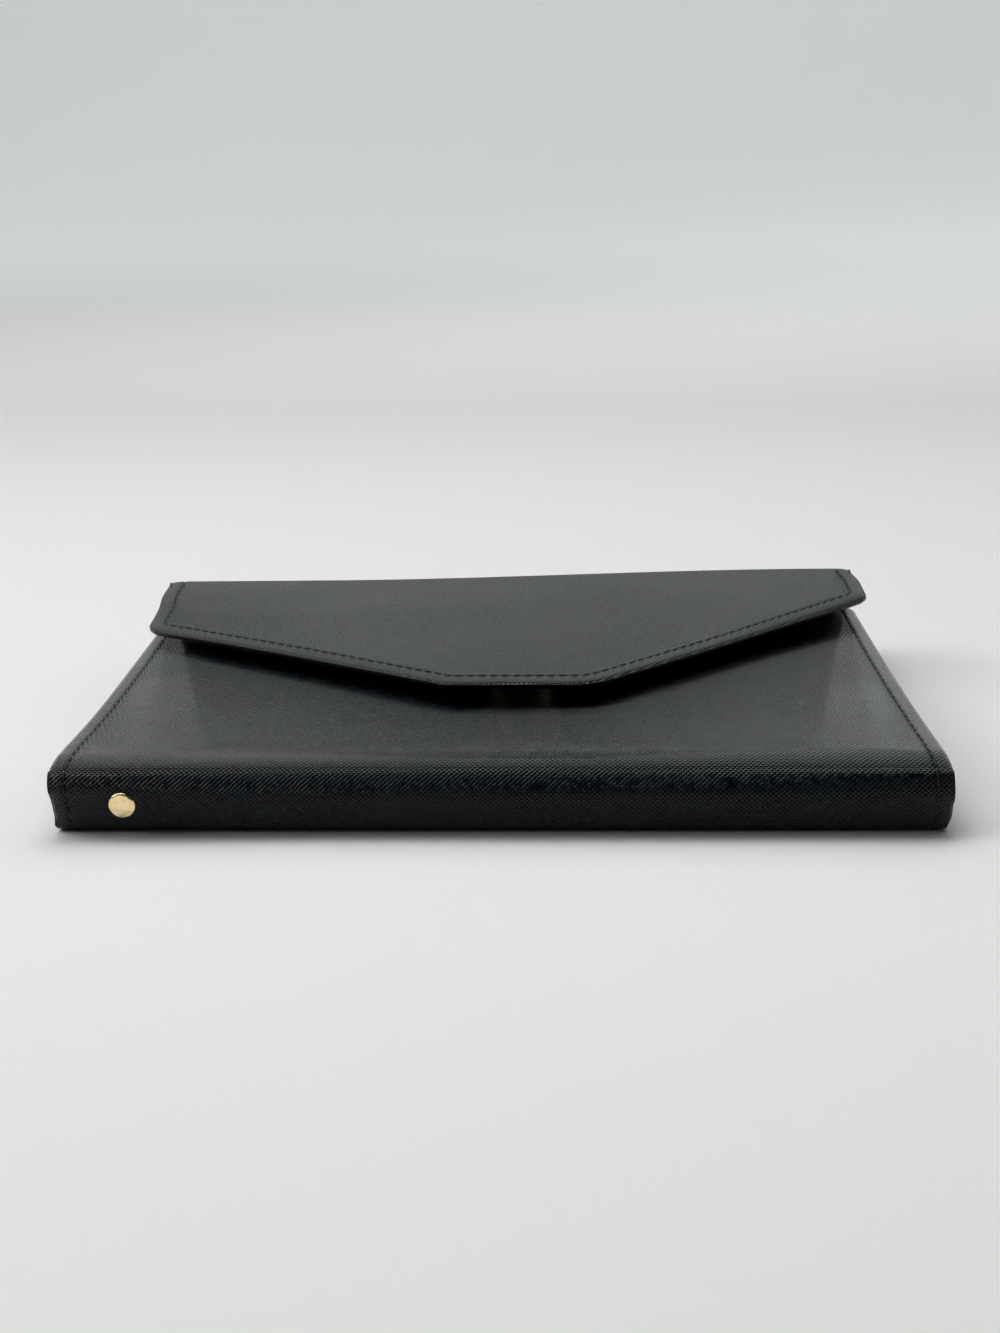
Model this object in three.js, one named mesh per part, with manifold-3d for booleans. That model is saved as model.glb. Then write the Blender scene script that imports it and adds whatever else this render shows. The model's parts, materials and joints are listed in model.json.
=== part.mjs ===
// A tri-fold travel document holder, closed, lying on its back cover.
// X runs along the spine, +Y goes from the spine towards the flap's fold, +Z is up. Millimetres.
// One strip of turned-edge leather makes back cover, near spine, front cover, far spine and flap.
// Each of those five is a stiff sandwich of skin, board and lining, and soft quarter-round folds join them.
import * as THREE from "three";
import { mergeVertices } from "three/addons/utils/BufferGeometryUtils.js";
import Module from "manifold-3d";

const wasm = await Module();
wasm.setup();

// Closed size
const LENGTH = 193; // along the spine
const DEPTH = 112; // near face to far face
const COVER_TOP = 14.4; // top of the front cover above the table
const SNAP_HEIGHT = 3.2; // room that the closed magnetic snap takes between cover and flap
const COVER_TO_FAR_SPINE = 2.4; // the front cover's free edge stops this far inside the far spine

// Sheets
const SKIN = 0.9;
const BOARD = 1.0;
const LINING = 0.5;
const POCKET_SHEET = 0.6;
const CARD_SHEET = 0.4;
const GLUE = 0.1; // glue film between two sheets
const SLIP = 0.2; // free play between sheets that only lie on each other
const RIM = 1.0; // width of the skin's turned edge
const PANEL = SKIN + BOARD + LINING + 2 * GLUE;

// Folds
const BOTTOM_FOLD_R = 3.0;
const TOP_FOLD_R = 4.0;
const FOLD_GAP = 0.3; // between a fold strip and the panel that it joins
const FOLD_SHEET = SKIN + LINING + GLUE;
const BOARD_SETBACK = 1.0; // boards stop short of the folds
const FOLD_STEPS = 6;

// Flap outline, which is a little askew: its tip sits right of the middle
const FLAP_REACH = 75.5; // far face to the tip's straight edge
const FLAP_SIDE_LEFT = 33; // far face to the side corner at the rivet's end
const FLAP_SIDE_RIGHT = 22;
const FLAP_TIP_X0 = -13; // the tip's straight edge, left and right ends
const FLAP_TIP_X1 = 22;
const FLAP_TIP_LEFT_R = 6;
const FLAP_TIP_RIGHT_R = 15;
const FLAP_CORNER_R = 7;
const COVER_CORNER_R = 4;

// Magnetic snap
const SNAP_R = 8;
const SNAP_FROM_TIP = 17; // snap centre to the flap's tip edge
const SNAP_AIR = 0.3; // between the closed halves
const SNAP_PIP_R = 1.8;
const SNAP_PIP_H = 0.9;
const SNAP_PIP_PLAY = 0.3;
const SNAP_LEG_W = 3;
const SNAP_LEG_T = 0.6;
const SNAP_LEG_OFF = 4.2; // a leg's distance from the snap's centre
const SNAP_WASHER_R = 7;
const SNAP_WASHER_T = 0.4;
const LEG_PLAY = 0.3;

// Key strap and its rivet
const RIVET_FROM_END = 15.1; // rivet's middle to the strip's end
const RIVET_X = RIVET_FROM_END - LENGTH / 2;
const RIVET_R = 3;
const RIVET_PROUD = 1.0;
const RIVET_POST_R = 1.2;
const RIVET_HOLE_PLAY = 0.3;
const RIVET_BASE_T = 0.7;
const STRAP_W = 7; // at the rivet
const STRAP_NECK_W = 4.6; // at the eye
const STRAP_T = 2.2; // two layers of leather
const STRAP_TAIL = 4.6; // past the rivet
const STRAP_RUN = 27; // rivet to the centre of the strap's eye
const STRAP_FLAT = 11; // flat from the rivet, then it rises clear of the spine
const STRAP_RISE = 10;
const STRAP_EYE_R = 1.5;
const STRAP_EYE_WALL = 1.0;
const STRAP_EYE_OFF = 4.1; // eye's middle to the spine's lining

// Swivel clip
const CLIP_WIRE = 1.2; // thickness of the eye's wire
const CLIP_EYE_PLAY = 0.3;
const CLIP_EYE_LENGTH = 5.4; // crossbar's middle to the hook's collar
const CLIP_LENGTH = 29;
const CLIP_W = 6.6;
const CLIP_T = 3.0;
const CLIP_WALL = 1.6;
const CLIP_COLLAR = 3.6; // length of the collar that the swivel post turns in
const CLIP_POST_R = 0.9;
const CLIP_HEAD_R = 1.45;
const CLIP_HEAD_T = 0.8;
const CLIP_GATE = 14; // length of the gate in the clip's side
const CLIP_NOSE = 3.2; // hook tip past the gate
const LEVER_T = 1.8;
const LEVER_PLAY = 0.3;
const LEVER_ROOT_R = 0.8;
const LEVER_BORE_R = 0.55;
const LEVER_PIN_R = 0.35;
const LEVER_THUMB = 0.5; // the lever's thumb tab stands this far out of the clip's side
const LEVER_THUMB_L = 3;

// Pen loop
const PEN_LOOP_FROM_END = 58.5; // loop's middle to the strip's right end
const PEN_LOOP_X = LENGTH / 2 - PEN_LOOP_FROM_END;
const PEN_LOOP_W = 22;
const PEN_LOOP_WALL = 0.7;
const PEN_LOOP_OUTER_H = 7.8;
const PEN_LOOP_OUTER_D = 8.6;

// Pockets: the area that they cover inside both covers
const POCKET_NEAR = 13; // spine face to the pockets' near edge, room for clip and pen
const POCKET_FAR = 8.5; // far face to the pockets' far edge
const POCKET_END = 5; // short edge to the pockets' ends
const BOARDING_MOUTH = 14; // the boarding-pass pocket's mouth from the short edge
const THUMB_NOTCH_R = 11;
const CARD_MOUTH = 20; // first card slot's mouth from the short edge
const CARD_STEP = 9;
const CARD_COUNT = 3;
const CARD_TO_ZIP = 0.5; // card slots' ends to the zip pocket
const PASSPORT_MOUTH = 16; // the passport pocket's mouth from the short edge
const PASSPORT_SHEET = 0.4;
const WINDOW_X = 28; // the window pocket's inner edge, clear of the flap's tip
const WINDOW_MARGIN = 7;
const WINDOW_FILM = 0.2;
const POCKET_CORNER_R = 3;

// Zip pocket on the back cover; its zip runs along Y
const ZIP_X = -7.5;
const ZIP_BAND = 10; // height of the leather band above the zip
const ZIP_SLOT_HALF = 4.9; // zip's middle to the leather on either side
const ZIP_TAPE_HALF = 9.5;
const ZIP_TAPE_T = 0.4;
const ZIP_TEETH_T = 1.6;
const ZIP_PITCH = 2.2;
const ZIP_TOOTH_W = 0.8;
const ZIP_TOOTH_REACH = 0.5; // past the middle
const ZIP_TEETH_HALF = 1.7;
const ZIP_SPINE_W = 0.8; // the teeth's root strip
const ZIP_END = 3; // pocket edge to the teeth's ends
const ZIP_STOP_L = 1.4;
const ZIP_TAPE_GAP = 0.35; // tape's edge inside the teeth's roots
const GUSSET_W = 2.2;
const GUSSET_H = 1.5;

// Zip slider and pull
const SLIDER_L = 10;
const SLIDER_HALF = 4.1;
const SLIDER_PLATE = 0.6;
const SLIDER_PLAY = 0.25;
const SLIDER_FLANGE = 0.8;
const SLIDER_POST_R = 0.6;
const BAIL_H = 1.5;
const BAIL_T = 0.6;
const BAIL_L = 4.4;
const PULL_L = 17;
const PULL_HALF = 2.6;
const PULL_T = 0.7;
const PULL_NECK_HALF = 1.3;
const PULL_HOLE_R = 0.9;
const PULL_PLAY = 0.25;

// Worked out from the sizes above
const HALF_LENGTH = LENGTH / 2;
const NEAR_Y = -DEPTH / 2 + RIVET_PROUD / 2; // the origin is midway between rivet head and far face
const FAR_Y = NEAR_Y + DEPTH;
const FLAP_TOP = COVER_TOP + SNAP_HEIGHT + PANEL;
const COVER_END_Y = FAR_Y - PANEL - COVER_TO_FAR_SPINE;
const POCKET_Y0 = NEAR_Y + POCKET_NEAR;
const POCKET_Y1 = FAR_Y - POCKET_FAR;
const POCKET_X1 = HALF_LENGTH - POCKET_END;
const SNAP_Y = FAR_Y - FLAP_REACH + SNAP_FROM_TIP;
const SNAP_X = -(FLAP_TIP_X0 + FLAP_TIP_X1) / 2; // in the turned-over frames of cover and flap
const ROUND_STEPS = 24;
const CORNER_STEPS = 5;

const MATERIALS = {
  leather: { color: 0x232628, roughness: 0.55, metalness: 0 },
  board: { color: 0x8d7f6a, roughness: 0.9, metalness: 0 },
  lining: { color: 0x1c1c1f, roughness: 0.8, metalness: 0 },
  gold: { color: 0xe2bd7c, roughness: 0.25, metalness: 1 },
  elastic: { color: 0x18181a, roughness: 0.9, metalness: 0 },
  tape: { color: 0x151517, roughness: 0.9, metalness: 0 },
  film: { color: 0xdfe6ea, roughness: 0.1, metalness: 0 },
};

function piece(name, geometry, material) {
  const mesh = new THREE.Mesh(geometry, new THREE.MeshStandardMaterial(MATERIALS[material]));
  mesh.name = name;
  return mesh;
}

// Solid shapes

function box(x0, x1, y0, y1, z0, z1) {
  const geometry = new THREE.BoxGeometry(x1 - x0, y1 - y0, z1 - z0);
  return geometry.translate((x0 + x1) / 2, (y0 + y1) / 2, (z0 + z1) / 2);
}

function extrude(shape, z0, z1) {
  const settings = { depth: z1 - z0, bevelEnabled: false, curveSegments: CORNER_STEPS };
  return new THREE.ExtrudeGeometry(shape, settings).translate(0, 0, z0);
}

function ordered(a, b) {
  return a < b ? [a, b] : [b, a];
}

// A profile drawn in Y and Z, run along X.
function alongX(shape, x0, x1) {
  const turn = new THREE.Matrix4().makeBasis(
    new THREE.Vector3(0, 1, 0),
    new THREE.Vector3(0, 0, 1),
    new THREE.Vector3(1, 0, 0),
  );
  return extrude(shape, x0, x1).applyMatrix4(turn);
}

function roundPin(radius, x, y, z0, z1) {
  const geometry = new THREE.CylinderGeometry(radius, radius, z1 - z0, ROUND_STEPS);
  return geometry.rotateX(Math.PI / 2).translate(x, y, (z0 + z1) / 2);
}

// A straight-sided pin whose axis runs along X.
function roundPinX(radius, x0, x1, y, z) {
  const geometry = new THREE.CylinderGeometry(radius, radius, x1 - x0, ROUND_STEPS);
  return geometry.rotateZ(Math.PI / 2).translate((x0 + x1) / 2, y, z);
}

// A closed outline through corners [x, y, radius], listed counter-clockwise, each convex.
function outline(corners) {
  const shape = new THREE.Shape();
  corners.forEach(([x, y, radius], i) => {
    const corner = new THREE.Vector2(x, y);
    if (radius <= 0) {
      if (i === 0) shape.moveTo(x, y);
      else shape.lineTo(x, y);
      return;
    }
    const [px, py] = corners[(i + corners.length - 1) % corners.length];
    const [nx, ny] = corners[(i + 1) % corners.length];
    const back = new THREE.Vector2(px, py).sub(corner).normalize();
    const on = new THREE.Vector2(nx, ny).sub(corner).normalize();
    const half = Math.acos(THREE.MathUtils.clamp(back.dot(on), -1, 1)) / 2;
    const inwards = back.clone().add(on).normalize();
    const centre = corner.clone().addScaledVector(inwards, radius / Math.sin(half));
    const from = corner.clone().addScaledVector(back, radius / Math.tan(half));
    const to = corner.clone().addScaledVector(on, radius / Math.tan(half));
    if (i === 0) shape.moveTo(from.x, from.y);
    else shape.lineTo(from.x, from.y);
    const start = Math.atan2(from.y - centre.y, from.x - centre.x);
    const end = Math.atan2(to.y - centre.y, to.x - centre.x);
    shape.absarc(centre.x, centre.y, radius, start, end, false);
  });
  shape.closePath();
  return shape;
}

// The same outline with each edge moved in by its own distance; edge i runs from corner i to the next.
function inset(corners, distances) {
  const lines = corners.map(([x, y], i) => {
    const [nx, ny] = corners[(i + 1) % corners.length];
    const along = new THREE.Vector2(nx - x, ny - y).normalize();
    const start = new THREE.Vector2(x - along.y * distances[i], y + along.x * distances[i]);
    return { start, along };
  });
  return corners.map(([, , radius], i) => {
    const before = lines[(i + corners.length - 1) % corners.length];
    const after = lines[i];
    const between = after.start.clone().sub(before.start);
    const t = between.cross(after.along) / before.along.cross(after.along);
    const at = before.start.clone().addScaledVector(before.along, t);
    return [at.x, at.y, radius > 0 ? Math.max(radius - distances[i], RIM / 2) : 0];
  });
}

function rectangle(x0, x1, y0, y1, nearRadius = 0, farRadius = nearRadius) {
  return [
    [x0, y0, nearRadius],
    [x1, y0, nearRadius],
    [x1, y1, farRadius],
    [x0, y1, farRadius],
  ];
}

// Joining and cutting

function toSolid(geometry) {
  const bare = new THREE.BufferGeometry();
  bare.setAttribute("position", geometry.getAttribute("position"));
  if (geometry.index) bare.setIndex(geometry.index);
  const merged = mergeVertices(bare, 1e-4);
  return new wasm.Manifold(
    new wasm.Mesh({
      numProp: 3,
      vertProperties: merged.attributes.position.array,
      triVerts: new Uint32Array(merged.index.array),
    }),
  );
}

function toGeometry(solid) {
  const { vertProperties, triVerts } = solid.getMesh();
  const geometry = new THREE.BufferGeometry();
  geometry.setAttribute("position", new THREE.BufferAttribute(vertProperties, 3));
  geometry.setIndex(new THREE.BufferAttribute(triVerts, 1));
  geometry.computeVertexNormals();
  return geometry;
}

function cut(geometry, ...tools) {
  return toGeometry(tools.reduce((solid, tool) => solid.subtract(toSolid(tool)), toSolid(geometry)));
}

function join(...geometries) {
  return toGeometry(geometries.map(toSolid).reduce((a, b) => a.add(b)));
}

// A stiff panel in its own frame: the skin's outer face is at z = 0 and the lining is on top.
// edges holds, for each edge of the outline, whether it is a free turned edge or runs into a fold.
function panel(prefix, corners, edges, holes = {}) {
  const past = -2 * FOLD_SHEET;
  const cavity = inset(corners, edges.map((free) => (free ? RIM : past)));
  const boardCorners = inset(corners, edges.map((free) => (free ? RIM + GLUE : BOARD_SETBACK)));
  const liningCorners = inset(corners, edges.map((free) => (free ? RIM + GLUE : 0)));
  const boardBase = SKIN + GLUE;
  const liningBase = boardBase + BOARD + GLUE;
  const tray = cut(
    extrude(outline(corners), 0, PANEL),
    extrude(outline(cavity), SKIN, PANEL + RIM),
    ...(holes.skin || []),
  );
  const board = extrude(outline(boardCorners), boardBase, boardBase + BOARD);
  const lining = extrude(outline(liningCorners), liningBase, liningBase + LINING);
  return [
    piece(prefix + "_skin", tray, "leather"),
    piece(prefix + "_board", holes.board ? cut(board, ...holes.board) : board, "board"),
    piece(prefix + "_lining", holes.lining ? cut(lining, ...holes.lining) : lining, "lining"),
  ];
}

// A quarter-round strip of bare skin and lining along X, outer radius radius, between the panel that
// lies flat and the one that stands up. It is drawn with its outer corner at the frame's origin.
function foldStrip(name, radius) {
  const shape = new THREE.Shape();
  shape.absarc(radius, radius, radius, Math.PI, 1.5 * Math.PI, false);
  shape.absarc(radius, radius, radius - FOLD_SHEET, 1.5 * Math.PI, Math.PI, true);
  shape.closePath();
  const settings = { depth: LENGTH, bevelEnabled: false, curveSegments: FOLD_STEPS };
  const geometry = new THREE.ExtrudeGeometry(shape, settings);
  const turn = new THREE.Matrix4().makeBasis(
    new THREE.Vector3(0, 1, 0),
    new THREE.Vector3(0, 0, 1),
    new THREE.Vector3(1, 0, 0),
  );
  return piece(name, geometry.applyMatrix4(turn).translate(-HALF_LENGTH, 0, 0), "leather");
}

function place(group, x, y, z, turnX = 0, turnY = 0) {
  group.position.set(x, y, z);
  group.rotation.set(turnX, turnY, 0);
  return group;
}

function groupOf(...meshes) {
  const group = new THREE.Group();
  group.add(...meshes.flat());
  return group;
}

// Back cover, in world axes: its outer face is on the table.

function backCover() {
  const y0 = NEAR_Y + BOTTOM_FOLD_R + FOLD_GAP;
  const y1 = FAR_Y - BOTTOM_FOLD_R - FOLD_GAP;
  const corners = rectangle(-HALF_LENGTH, HALF_LENGTH, y0, y1);
  return panel("back", corners, [false, true, false, true]);
}

const BOARDING_Z0 = PANEL + SLIP;
const BOARDING_Z1 = BOARDING_Z0 + POCKET_SHEET;
const SLIDER_BOTTOM_Z = BOARDING_Z1 + SLIP;
const ZIP_Z = SLIDER_BOTTOM_Z + SLIDER_PLATE + SLIDER_PLAY + ZIP_TEETH_T / 2; // middle of tape and teeth

function boardingPassPocket() {
  const x0 = -HALF_LENGTH + BOARDING_MOUTH;
  const corners = rectangle(x0, POCKET_X1, POCKET_Y0, POCKET_Y1);
  const notch = roundPin(THUMB_NOTCH_R, x0, (POCKET_Y0 + POCKET_Y1) / 2, 0, BOARDING_Z1 + 1);
  return piece(
    "boarding_pass_pocket",
    cut(extrude(outline(corners), BOARDING_Z0, BOARDING_Z1), notch),
    "leather",
  );
}

const BAND_X0 = ZIP_X - ZIP_SLOT_HALF - ZIP_BAND;

// Card slots beside the zip pocket, each one step shorter than the one below it.
function cardSlots() {
  const x1 = BAND_X0 - CARD_TO_ZIP;
  return Array.from({ length: CARD_COUNT }, (_, i) => {
    const x0 = -HALF_LENGTH + CARD_MOUTH + i * CARD_STEP;
    const z0 = BOARDING_Z1 + GLUE + i * (CARD_SHEET + GLUE);
    const sheet = outline(rectangle(x0, x1, POCKET_Y0, POCKET_Y1));
    return piece("card_slot_" + (i + 1), extrude(sheet, z0, z0 + CARD_SHEET), "leather");
  });
}

function zipPocket() {
  const y0 = POCKET_Y0;
  const y1 = POCKET_Y1;
  const gussetZ0 = BOARDING_Z1 + GLUE;
  const gussetZ1 = Math.min(gussetZ0 + GUSSET_H, ZIP_Z - ZIP_TAPE_T / 2 - GLUE);
  const frontZ0 = ZIP_Z + ZIP_TAPE_T / 2 + GLUE;
  const frontZ1 = frontZ0 + POCKET_SHEET;
  const frontX0 = ZIP_X + ZIP_SLOT_HALF;
  const ring = box(BAND_X0, POCKET_X1, y0, y1, gussetZ0, gussetZ1);
  const inside = box(
    BAND_X0 + GUSSET_W,
    POCKET_X1 - GUSSET_W,
    y0 + GUSSET_W,
    y1 - GUSSET_W,
    gussetZ0 - 1,
    gussetZ1 + 1,
  );
  return [
    piece("zip_pocket_gusset", cut(ring, inside), "leather"),
    piece("zip_pocket_front", box(frontX0, POCKET_X1, y0, y1, frontZ0, frontZ1), "leather"),
    piece("zip_pocket_band", box(BAND_X0, ZIP_X - ZIP_SLOT_HALF, y0, y1, frontZ0, frontZ1), "leather"),
  ];
}

// One row of teeth as a comb; side is +1 or -1, and the two rows mesh by half a pitch.
function teethRow(side, y0, y1) {
  const pitches = Math.floor((y1 - y0) / ZIP_PITCH);
  const root = side * ZIP_TEETH_HALF;
  const rootIn = side * (ZIP_TEETH_HALF - ZIP_SPINE_W);
  const tip = -side * ZIP_TOOTH_REACH;
  const points = [[root, y0]];
  for (let i = 0; i < pitches; i += 1) {
    const start = y0 + (i + (side > 0 ? 0.1 : 0.6)) * ZIP_PITCH;
    points.push([rootIn, start], [tip, start], [tip, start + ZIP_TOOTH_W], [rootIn, start + ZIP_TOOTH_W]);
  }
  points.push([root, y1 + ZIP_PITCH / 2]);
  if (side > 0) points.reverse();
  const shape = new THREE.Shape(points.map(([x, y]) => new THREE.Vector2(ZIP_X + x, y)));
  return extrude(shape, ZIP_Z - ZIP_TEETH_T / 2, ZIP_Z + ZIP_TEETH_T / 2);
}

// The chain ends where the closed slider's divider begins.
const TEETH_Y0 = POCKET_Y0 + GUSSET_W + ZIP_END;
const SLIDER_Y1 = POCKET_Y1 - GUSSET_W - ZIP_END;
const SLIDER_Y0 = SLIDER_Y1 - SLIDER_L;
const DIVIDER_Y = SLIDER_Y0 + SLIDER_L * 0.72;
const TEETH_Y1 = DIVIDER_Y - SLIDER_POST_R - SLIDER_PLAY - ZIP_PITCH;

function zipChain() {
  const z0 = ZIP_Z - ZIP_TAPE_T / 2;
  const z1 = ZIP_Z + ZIP_TAPE_T / 2;
  const pieces = [];
  for (const [word, side] of [["upper", -1], ["lower", 1]]) {
    const inner = ZIP_X + side * (ZIP_TEETH_HALF + ZIP_TAPE_GAP);
    const outer = ZIP_X + side * ZIP_TAPE_HALF;
    const tape = box(Math.min(inner, outer), Math.max(inner, outer), POCKET_Y0, POCKET_Y1, z0, z1);
    pieces.push(piece("zip_tape_" + word, tape, "tape"));
    pieces.push(piece("zip_teeth_" + word, teethRow(side, TEETH_Y0, TEETH_Y1), "gold"));
  }
  const half = ZIP_TEETH_T / 2;
  const stopY = TEETH_Y0 - ZIP_STOP_L - GLUE;
  const stopHalf = ZIP_TEETH_HALF;
  const stop = box(ZIP_X - stopHalf, ZIP_X + stopHalf, stopY, TEETH_Y0 - GLUE, ZIP_Z - half, ZIP_Z + half);
  pieces.push(piece("zip_bottom_stop", stop, "gold"));
  for (const [word, side] of [["upper", -1], ["lower", 1]]) {
    const a = ZIP_X + side * (ZIP_TEETH_HALF - ZIP_SPINE_W);
    const b = ZIP_X + side * ZIP_TEETH_HALF;
    const y = SLIDER_Y1 + GLUE;
    const topStop = box(Math.min(a, b), Math.max(a, b), y, y + ZIP_STOP_L, ZIP_Z - half, ZIP_Z + half);
    pieces.push(piece("zip_top_stop_" + word, topStop, "gold"));
  }
  return pieces;
}

// The slider: two plates round the teeth, flanges that leave a slot for the tape, a divider and a bail.
const SLIDER_INNER = ZIP_TEETH_T / 2 + SLIDER_PLAY;
const SLIDER_TOP_Z = ZIP_Z + SLIDER_INNER + SLIDER_PLATE;
const BAIL_Y = (SLIDER_Y0 + SLIDER_Y1) / 2;

function zipSlider() {
  const plan = outline(
    rectangle(ZIP_X - SLIDER_HALF, ZIP_X + SLIDER_HALF, SLIDER_Y0, SLIDER_Y1, SLIDER_HALF * 0.4),
  );
  const slot = ZIP_TAPE_T / 2 + SLIDER_PLAY;
  const parts = [
    extrude(plan, ZIP_Z + SLIDER_INNER, SLIDER_TOP_Z),
    extrude(plan, ZIP_Z - SLIDER_INNER - SLIDER_PLATE, ZIP_Z - SLIDER_INNER),
    roundPin(SLIDER_POST_R, ZIP_X, DIVIDER_Y, ZIP_Z - SLIDER_INNER - 0.1, ZIP_Z + SLIDER_INNER + 0.1),
  ];
  for (const side of [-1, 1]) {
    const a = ZIP_X + side * SLIDER_HALF;
    const b = ZIP_X + side * (SLIDER_HALF - SLIDER_FLANGE);
    const x0 = Math.min(a, b);
    const x1 = Math.max(a, b);
    const y0 = SLIDER_Y0 + SLIDER_HALF * 0.4;
    const y1 = SLIDER_Y1 - SLIDER_HALF * 0.4;
    parts.push(box(x0, x1, y0, y1, ZIP_Z + slot, ZIP_Z + SLIDER_INNER + 0.1));
    parts.push(box(x0, x1, y0, y1, ZIP_Z - SLIDER_INNER - 0.1, ZIP_Z - slot));
  }
  const bailX0 = ZIP_X - BAIL_T;
  const bailX1 = ZIP_X + BAIL_T;
  const z1 = SLIDER_TOP_Z + BAIL_H;
  const y0 = BAIL_Y - BAIL_L / 2;
  const y1 = BAIL_Y + BAIL_L / 2;
  parts.push(box(bailX0, bailX1, y0, y1, z1 - BAIL_T, z1));
  parts.push(box(bailX0, bailX1, y0, y0 + BAIL_T, SLIDER_TOP_Z - 0.1, z1));
  parts.push(box(bailX0, bailX1, y1 - BAIL_T, y1, SLIDER_TOP_Z - 0.1, z1));
  return piece("zip_slider_body", join(...parts), "gold");
}

// The pull hangs on the bail's far leg and lies back along the zip, over the slider.
const PULL_Z0 = SLIDER_TOP_Z + PULL_PLAY / 2;
const PULL_EYE_Y1 = BAIL_Y + BAIL_L / 2 - BAIL_T - PULL_PLAY;

function zipPull() {
  const neckY0 = PULL_EYE_Y1 - BAIL_L;
  const y0 = PULL_EYE_Y1 - PULL_L;
  const slotHalf = BAIL_T + PULL_PLAY;
  const tab = outline(rectangle(ZIP_X - PULL_HALF, ZIP_X + PULL_HALF, y0, neckY0, PULL_HALF * 0.6));
  const neckHalf = slotHalf + PULL_NECK_HALF;
  const neck = box(ZIP_X - neckHalf, ZIP_X + neckHalf, neckY0 - 1, PULL_EYE_Y1, PULL_Z0, PULL_Z0 + PULL_T);
  const slotY0 = BAIL_Y - BAIL_L / 2 - PULL_PLAY;
  const slot = box(
    ZIP_X - slotHalf,
    ZIP_X + slotHalf,
    slotY0,
    PULL_EYE_Y1 - PULL_T,
    PULL_Z0 - 1,
    PULL_Z0 + PULL_T + 1,
  );
  const hole = roundPin(PULL_HOLE_R, ZIP_X, y0 + 2 * PULL_HOLE_R + 1, PULL_Z0 - 1, PULL_Z0 + PULL_T + 1);
  const whole = join(extrude(tab, PULL_Z0, PULL_Z0 + PULL_T), neck);
  return piece("zip_pull_tab", cut(whole, slot, hole), "gold");
}

// Front cover, in a frame turned over about Y: local x is world -X, local z runs down into the wallet.

// Slots that the two legs of a snap half pass through.
function legSlots(y, z0, z1) {
  const w = SNAP_LEG_W / 2 + LEG_PLAY;
  const t = SNAP_LEG_T / 2 + LEG_PLAY;
  return [-1, 1].map((side) => {
    const x = SNAP_X + side * SNAP_LEG_OFF;
    return box(x - t, x + t, y - w, y + w, z0, z1);
  });
}

// The cover's snap half sits on the outer face, so its legs run down through skin and board.
const SNAP_BODY_T = (SNAP_HEIGHT - SNAP_AIR) / 2;

function snapHalf(name, y, base, body, legEnd, centre) {
  // base is the face that the disc sits on, body the disc's other face, legEnd where the legs stop
  const disc = roundPin(SNAP_R, SNAP_X, y, Math.min(base, body), Math.max(base, body));
  const legs = [-1, 1].map((side) => {
    const x = SNAP_X + side * SNAP_LEG_OFF;
    const t = SNAP_LEG_T / 2;
    const overlap = base + Math.sign(body - base) * 0.1;
    const ends = [Math.min(overlap, legEnd), Math.max(overlap, legEnd)];
    return box(x - t, x + t, y - SNAP_LEG_W / 2, y + SNAP_LEG_W / 2, ...ends);
  });
  return piece(name, centre(join(disc, ...legs)), "gold");
}

function snapWasher(name, y, z0, z1) {
  const disc = roundPin(SNAP_WASHER_R, SNAP_X, y, z0, z1);
  return piece(name, cut(disc, ...legSlots(y, z0 - 1, z1 + 1)), "gold");
}

function frontCover() {
  const y0 = NEAR_Y + TOP_FOLD_R + FOLD_GAP;
  const corners = rectangle(-HALF_LENGTH, HALF_LENGTH, y0, COVER_END_Y, 0, COVER_CORNER_R);
  const boardTop = SKIN + GLUE + BOARD;
  const washerZ0 = boardTop - SNAP_WASHER_T;
  const recess = roundPin(SNAP_WASHER_R + LEG_PLAY, SNAP_X, SNAP_Y, washerZ0 - GLUE, boardTop + 1);
  const holes = {
    skin: legSlots(SNAP_Y, -1, SKIN + 1),
    board: [...legSlots(SNAP_Y, 0, PANEL), recess],
  };
  const pipHole = roundPin(
    SNAP_PIP_R + SNAP_PIP_PLAY,
    SNAP_X,
    SNAP_Y,
    -SNAP_BODY_T - 1,
    -SNAP_BODY_T + SNAP_PIP_H + SNAP_PIP_PLAY,
  );
  return [
    ...panel("cover", corners, [false, true, true, true], holes),
    snapHalf("snap_socket", SNAP_Y, 0, -SNAP_BODY_T, boardTop, (g) => cut(g, pipHole)),
    snapWasher("snap_socket_washer", SNAP_Y, washerZ0, boardTop),
  ];
}

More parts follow.
